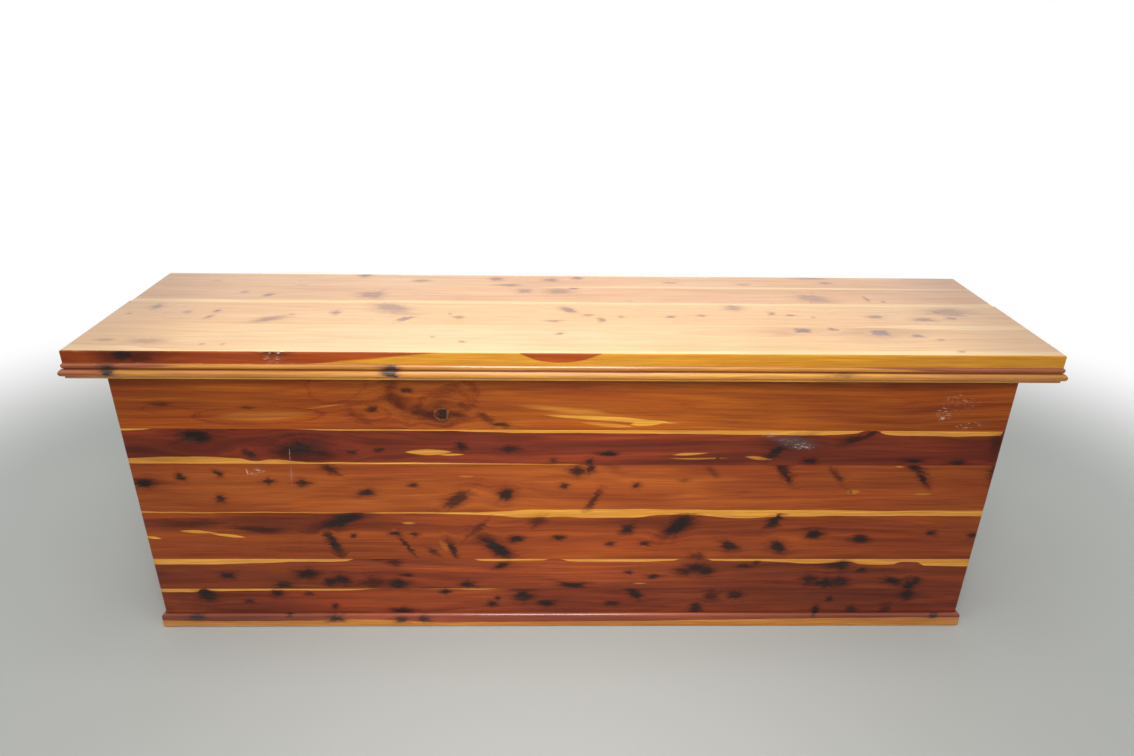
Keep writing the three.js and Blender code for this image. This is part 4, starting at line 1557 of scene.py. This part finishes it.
back_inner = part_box("back_plank_1")[0].y
left_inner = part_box("left_end_plank_1")[1].x
right_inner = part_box("right_end_plank_1")[0].x
dress_wall("back_plank_", "xyz", seed=410, knots=15, inner=back_inner, outward=1)
dress_wall("left_end_plank_", "yxz", seed=420, knots=4, inner=left_inner, outward=-1)
dress_wall("right_end_plank_", "yxz", seed=430, knots=4, inner=right_inner, outward=1)

# %% [markdown]
# ## Inside
# The bottom, its cleats and battens, the corner posts and the battens under the lid were
# left bare, so that the cedar keeps its smell. Bare cedar is pinkish, paler and dull. Only
# the direction of the grain differs from piece to piece.

# %% Dress the inner pieces
BARE_SEED = 500
BARE_KNOT_SIZES = (0.004, 0.012)
WIDE_KNOTS = 9
NARROW_KNOTS = 2
BARE_LOOK = {
    "light": colour(214, 146, 108),
    "dark": colour(176, 106, 76),
    "knot": colour(74, 48, 40),
    "knot_light": colour(110, 76, 62),
    "stain_tint": (0.72, 0.56, 0.56, 1.0),
    "smooth": 0.62,
    "dull": 0.85,
    "gloss": 0.25,
    "bump": 0.5,
}
BARE_PIECES = {
    "xzy": ["bottom_plank_1", "bottom_plank_2", "bottom_plank_3"],
    "xyz": ["bottom_cleat_front", "bottom_cleat_back"],
    "yxz": ["bottom_cleat_left", "bottom_cleat_right"],
    "yzx": ["bottom_batten_1", "bottom_batten_2"]
    + ["lid_batten_left", "lid_batten_middle", "lid_batten_right"],
    "zyx": ["corner_post_front_left", "corner_post_front_right"]
    + ["corner_post_back_right", "corner_post_back_left"],
}
seed = BARE_SEED
for order, pieces in BARE_PIECES.items():
    for piece in pieces:
        seed += 1
        count = WIDE_KNOTS if piece.startswith("bottom_plank") else NARROW_KNOTS
        marks = random_marks(seed, order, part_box(piece), count, BARE_KNOT_SIZES)
        dress_in_cedar(piece, order, seed, {**BARE_LOOK, "knots": marks}, kind="bare_")
print("bare pieces dressed:", seed - BARE_SEED)

# %% [markdown]
# ## Hinges
# Three brass butt hinges hold the lid. Old brass is brushed along the leaf, brown in its
# hollows and brighter where it rubs. The leaves and pins come with the packed model, and
# the screws are added here: nine heads in the body leaves and nine in the lid leaves.

# %% Brass
HINGES = (1, 2, 3)
BRASS = colour(206, 168, 92)
BRASS_BROWN = colour(138, 98, 48)
CLOUD_SCALE = 90.0
TARNISH_SPAN = (0.45, 0.7)
BRUSH_STRETCH = (60.0, 1500.0, 1500.0)
BRUSH_SPAN = (0.3, 0.7)
BRUSH_DARK = (0.88, 0.88, 0.86, 1.0)
BRUSH_LIGHT = (1.08, 1.08, 1.08, 1.0)
BRUSH_ROUGH = 0.16
TARNISH_ROUGH = 0.2
BRASS_ROUGH = 0.2
BRUSH_BUMP = 0.3
BRUSH_HEIGHT = 0.0002
brass, net, shader = new_material("old_brass")
place = net.add("TexCoord").outputs["Object"]
tarnish = net.fade(net.noise(place, CLOUD_SCALE, detail=4.0), *TARNISH_SPAN)
brushed = net.streaks(place, BRUSH_STRETCH, rough=0.5)
strokes = net.blend(net.fade(brushed, *BRUSH_SPAN), BRUSH_DARK, BRUSH_LIGHT)
metal = net.tint(1.0, net.blend(tarnish, BRASS, BRASS_BROWN), strokes)
rough = net.sum("MULTIPLY", tarnish, TARNISH_ROUGH)
rough = net.sum("MULTIPLY_ADD", brushed, BRUSH_ROUGH, rough)
values = {"Base Color": metal, "Metallic": 1.0}
values["Roughness"] = net.sum("ADD", rough, BRASS_ROUGH)
values["Normal"] = net.bump(brushed, BRUSH_BUMP, BRUSH_HEIGHT)
net.fill(shader, values)
for number in HINGES:
    for part in ("body_leaf", "lid_leaf", "pin"):
        dress(f"hinge_{number}_{part}", brass)
print("hinge parts dressed:", len(HINGES) * 3)

# %% [markdown]
# The screws are brass too, but turned on a lathe: fine rings run round the head, and years
# of wax and dust have darkened the slot and the rim. That darkening is also painted shade,
# for the shadow in the slot and in the gap round the head. The rings belong to the head and
# not to the chest, so each corner of a head carries its place on the head as an attribute,
# which says how far out and how deep it is. That stays true wherever the screw goes.

# %% Screw brass
HEAD_RADIUS = 0.0029
SLOT_DEPTH = 0.00018
RIM_SHARE = 0.66
RIM_DIRT_AND_SHADE = 0.8
LATHE_RINGS = 5200.0
LATHE_SPAN = (0.3, 0.7)
TURNED_LIGHT = colour(226, 188, 110)
TURNED_DARK = colour(176, 134, 66)
WAX_DIRT_AND_SHADE = colour(58, 36, 18)
TURNED_ROUGH = 0.28
DIRT_ROUGH = 0.4
ON_HEAD = "on_head"
screw_brass, net, shader = new_material("turned_brass")
place = net.add("Attribute", attribute_name=ON_HEAD).outputs["Vector"]
out = net.vector("LENGTH", net.vector("MULTIPLY", place, (1.0, 1.0, 0.0)))
depth = net.add("SeparateXYZ", place).outputs["Z"]
rings = net.noise_line(out, LATHE_RINGS, detail=1.0, rough=0.5)
metal = net.blend(net.fade(rings, *LATHE_SPAN), TURNED_LIGHT, TURNED_DARK)
# Painted shade along with wax and dust: the rim and the slot of the head are darkened.
rim = net.fade(out, HEAD_RADIUS * RIM_SHARE, HEAD_RADIUS, 0.0, RIM_DIRT_AND_SHADE)
dirt_and_shade = net.sum("MAXIMUM", rim, net.fade(depth, 0.0, -SLOT_DEPTH / 2))
values = {"Base Color": net.blend(dirt_and_shade, metal, WAX_DIRT_AND_SHADE)}
values["Roughness"] = net.sum("MULTIPLY_ADD", dirt_and_shade, DIRT_ROUGH, TURNED_ROUGH)
values["Metallic"] = net.sum("SUBTRACT", 1.0, dirt_and_shade)
net.fill(shader, values)
print("screw brass nodes:", len(screw_brass.node_tree.nodes))

# %% [markdown]
# A screw head is a disc whose rim is pulled down and in, which makes the countersunk cone,
# and whose middle strip is sunk for the slot. Every screw is a copy of that one head, turned
# and moved to its own place. It stands a hair above the leaf, so that it shows and still
# clears the other leaf when the lid is shut. The leaf has no hole under it, so the slot is
# cut only as deep as the head stands proud, and its dirt and painted shade make it look
# deeper.

# %% A screw head
HEAD_SEGMENTS = 32
CONE_DEPTH = 0.0012
CONE_SHARE = 0.6
SLOT_WIDTH = 0.0009
SLOT_SHARE = 0.9


def screw_head():
    """One slotted head. Its top lies at z = 0 and faces up."""
    shape = bmesh.new()
    bmesh.ops.create_circle(shape, cap_ends=True, segments=HEAD_SEGMENTS, radius=HEAD_RADIUS)
    cuts = [((0, s * SLOT_WIDTH / 2, 0), (0, 1, 0)) for s in (-1, 1)]
    cuts += [((s * HEAD_RADIUS * SLOT_SHARE, 0, 0), (1, 0, 0)) for s in (-1, 1)]
    for spot, normal in cuts:
        everything = shape.verts[:] + shape.edges[:] + shape.faces[:]
        bmesh.ops.bisect_plane(shape, geom=everything, plane_co=spot, plane_no=normal)
    rim = [edge for edge in shape.edges if edge.is_boundary]
    cone = bmesh.ops.extrude_edge_only(shape, edges=rim)["geom"]
    lower = [part for part in cone if isinstance(part, bmesh.types.BMVert)]
    bmesh.ops.scale(shape, verts=lower, vec=(CONE_SHARE, CONE_SHARE, 1))
    bmesh.ops.translate(shape, verts=lower, vec=(0, 0, -CONE_DEPTH))
    bmesh.ops.holes_fill(shape, edges=[e for e in shape.edges if e.is_boundary], sides=0)
    slot = min(shape.faces, key=lambda face: face.calc_center_median().length)
    sunk_parts = bmesh.ops.extrude_face_region(shape, geom=[slot, *slot.edges])["geom"]
    sunk_verts = [part for part in sunk_parts if isinstance(part, bmesh.types.BMVert)]
    bmesh.ops.translate(shape, verts=sunk_verts, vec=(0, 0, -SLOT_DEPTH))
    bmesh.ops.recalc_face_normals(shape, faces=shape.faces[:])
    layer = shape.verts.layers.float_vector.new(ON_HEAD)
    for corner in shape.verts:
        corner[layer] = corner.co
    return shape


def as_piece(shape, name, material):
    """A mesh object made from a bmesh, which is used up."""
    mesh = bpy.data.meshes.new(name)
    shape.to_mesh(mesh)
    shape.free()
    mesh.materials.append(material)
    return new_object(name, mesh)


head = screw_head()
print("faces of a screw head:", len(head.faces))
print("open edges of a screw head:", sum(1 for edge in head.edges if not edge.is_manifold))

# %% Hinge screws
HEAD_PROUD = 0.00022
HALF_LEAF_GAP = 0.0003
LEAF_MIDDLE = 0.0087
SCREW_SPACING = 0.024
SCREW_STAGGER = 0.0022
SCREW_SEED = 700
draw = random.Random(SCREW_SEED)
screws = 0
for number in HINGES:
    for part, body, facing in (("body_leaf", "chest", 1), ("lid_leaf", "lid", -1)):
        low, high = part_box(f"hinge_{number}_{part}")
        pin_low, pin_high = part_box(f"hinge_{number}_pin")
        axis_level = (pin_low.z + pin_high.z) / 2
        level = axis_level - facing * (HALF_LEAF_GAP - HEAD_PROUD)
        flip = Matrix.Rotation(0 if facing > 0 else math.pi, 4, "X")
        for step in (-1, 0, 1):
            x = (low.x + high.x) / 2 + step * SCREW_SPACING
            y = low.y + LEAF_MIDDLE + SCREW_STAGGER * (1 if step == 0 else -1)
            spin = Matrix.Rotation(draw.uniform(0, math.pi), 4, "Z")
            shape = head.copy()
            place = Matrix.Translation((x, y, level)) @ spin @ flip
            bmesh.ops.transform(shape, matrix=place, verts=shape.verts[:])
            screw = as_piece(shape, f"hinge_{number}_{body}_screw_{step + 2}", screw_brass)
            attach(screw, body)
            screws += 1
head.free()
print("screws:", screws)

# %% [markdown]
# ## Floor, background and light
# The chest stands on a plain pale grey floor. Away from the chest the floor turns white
# for the camera only, so it meets the white background without a line and keeps the
# shadow near the chest. One wide lamp above and one in front light the wood evenly, and one
# high up behind lights the lid. Three more stand lower than the lid, one behind and one at
# each side, so that the back and the ends aren't left dark.

# %% Floor
FLOOR_RADIUS = 14.0
FLOOR_SEGMENTS = 96
FLOOR_GREY = colour(175, 178, 174)
FLOOR_ROUGH = 0.8
OVAL_ROUND_CHEST = (0.85, 1.0, 0.0)
GREY_UNTIL = 1.35
WHITE_FROM = 2.3
paint, net, shader = new_material("pale_floor")
net.fill(shader, {"Base Color": FLOOR_GREY, "Roughness": FLOOR_ROUGH})
place = net.add("TexCoord").outputs["Object"]
away = net.vector("LENGTH", net.vector("MULTIPLY", place, OVAL_ROUND_CHEST))
rays = net.add("LightPath").outputs
far = net.sum("MULTIPLY", net.fade(away, GREY_UNTIL, WHITE_FROM), rays["Is Camera Ray"])
mixed = net.first("MixShader", far, shader.outputs[0], net.first("Emission"))
net.fill(paint.node_tree.nodes["Material Output"], {"Surface": mixed})
floor_shape = bmesh.new()
bmesh.ops.create_circle(
    floor_shape, cap_ends=True, segments=FLOOR_SEGMENTS, radius=FLOOR_RADIUS
)
floor = as_piece(floor_shape, "floor", paint)
print("floor radius in metres:", FLOOR_RADIUS)

# %% World and lamps
WORLD_LEVEL = 0.38
world = bpy.data.worlds.new("studio")
bpy.context.scene.world = world
world.use_nodes = True
net = Net(world.node_tree)
rays = net.add("LightPath").outputs
seen = net.sum("MAXIMUM", rays["Is Camera Ray"], rays["Is Glossy Ray"])
seen = net.sum("MAXIMUM", seen, rays["Is Transmission Ray"])
values = {"Color": (1.0, 1.0, 1.0, 1.0), "Strength": net.fade(seen, 0.0, 1.0, WORLD_LEVEL)}
net.fill(world.node_tree.nodes["Background"], values)


def soft_lamp(name, place, target, width, depth, power, spread=180):
    """A wide soft lamp at a place, turned to a target. Spread is its cone in degrees."""
    data = bpy.data.lights.new(name, "AREA")
    data.shape = "RECTANGLE"
    data.size = width
    data.size_y = depth
    data.energy = power
    data.spread = math.radians(spread)
    lamp = new_object(name, data)
    lamp.location = place
    aim = Vector(target) - Vector(place)
    lamp.rotation_euler = aim.to_track_quat("-Z", "Y").to_euler()
    lamp.visible_camera = False


soft_lamp(
    "ceiling_light",
    place=(-0.05, -0.5, 2.1),
    target=(-0.05, 0.0, 0.6),
    width=1.2,
    depth=1.2,
    power=12.2,
    spread=150,
)
soft_lamp(
    "front_light",
    place=(-0.05, -1.75, 1.7),
    target=(-0.05, -0.18, 0.15),
    width=0.8,
    depth=0.6,
    power=12.8,
    spread=110,
)
soft_lamp(
    "back_light", place=(0.0, 2.4, 3.8), target=(0.0, 0.2, 0.4), width=3.0, depth=1.4, power=26.0
)
soft_lamp(
    "rear_fill", place=(0.0, 2.5, 0.42), target=(0.0, 0.2, 0.4), width=1.6, depth=0.45, power=16.0
)
for side, name in ((-1, "left_fill"), (1, "right_fill")):
    place, target = (side * 2.7, 0.1, 0.42), (side * 0.9, 0.1, 0.4)
    soft_lamp(name, place, target, width=0.5, depth=0.45, power=9.0)
bpy.context.scene.view_settings.view_transform = "Standard"
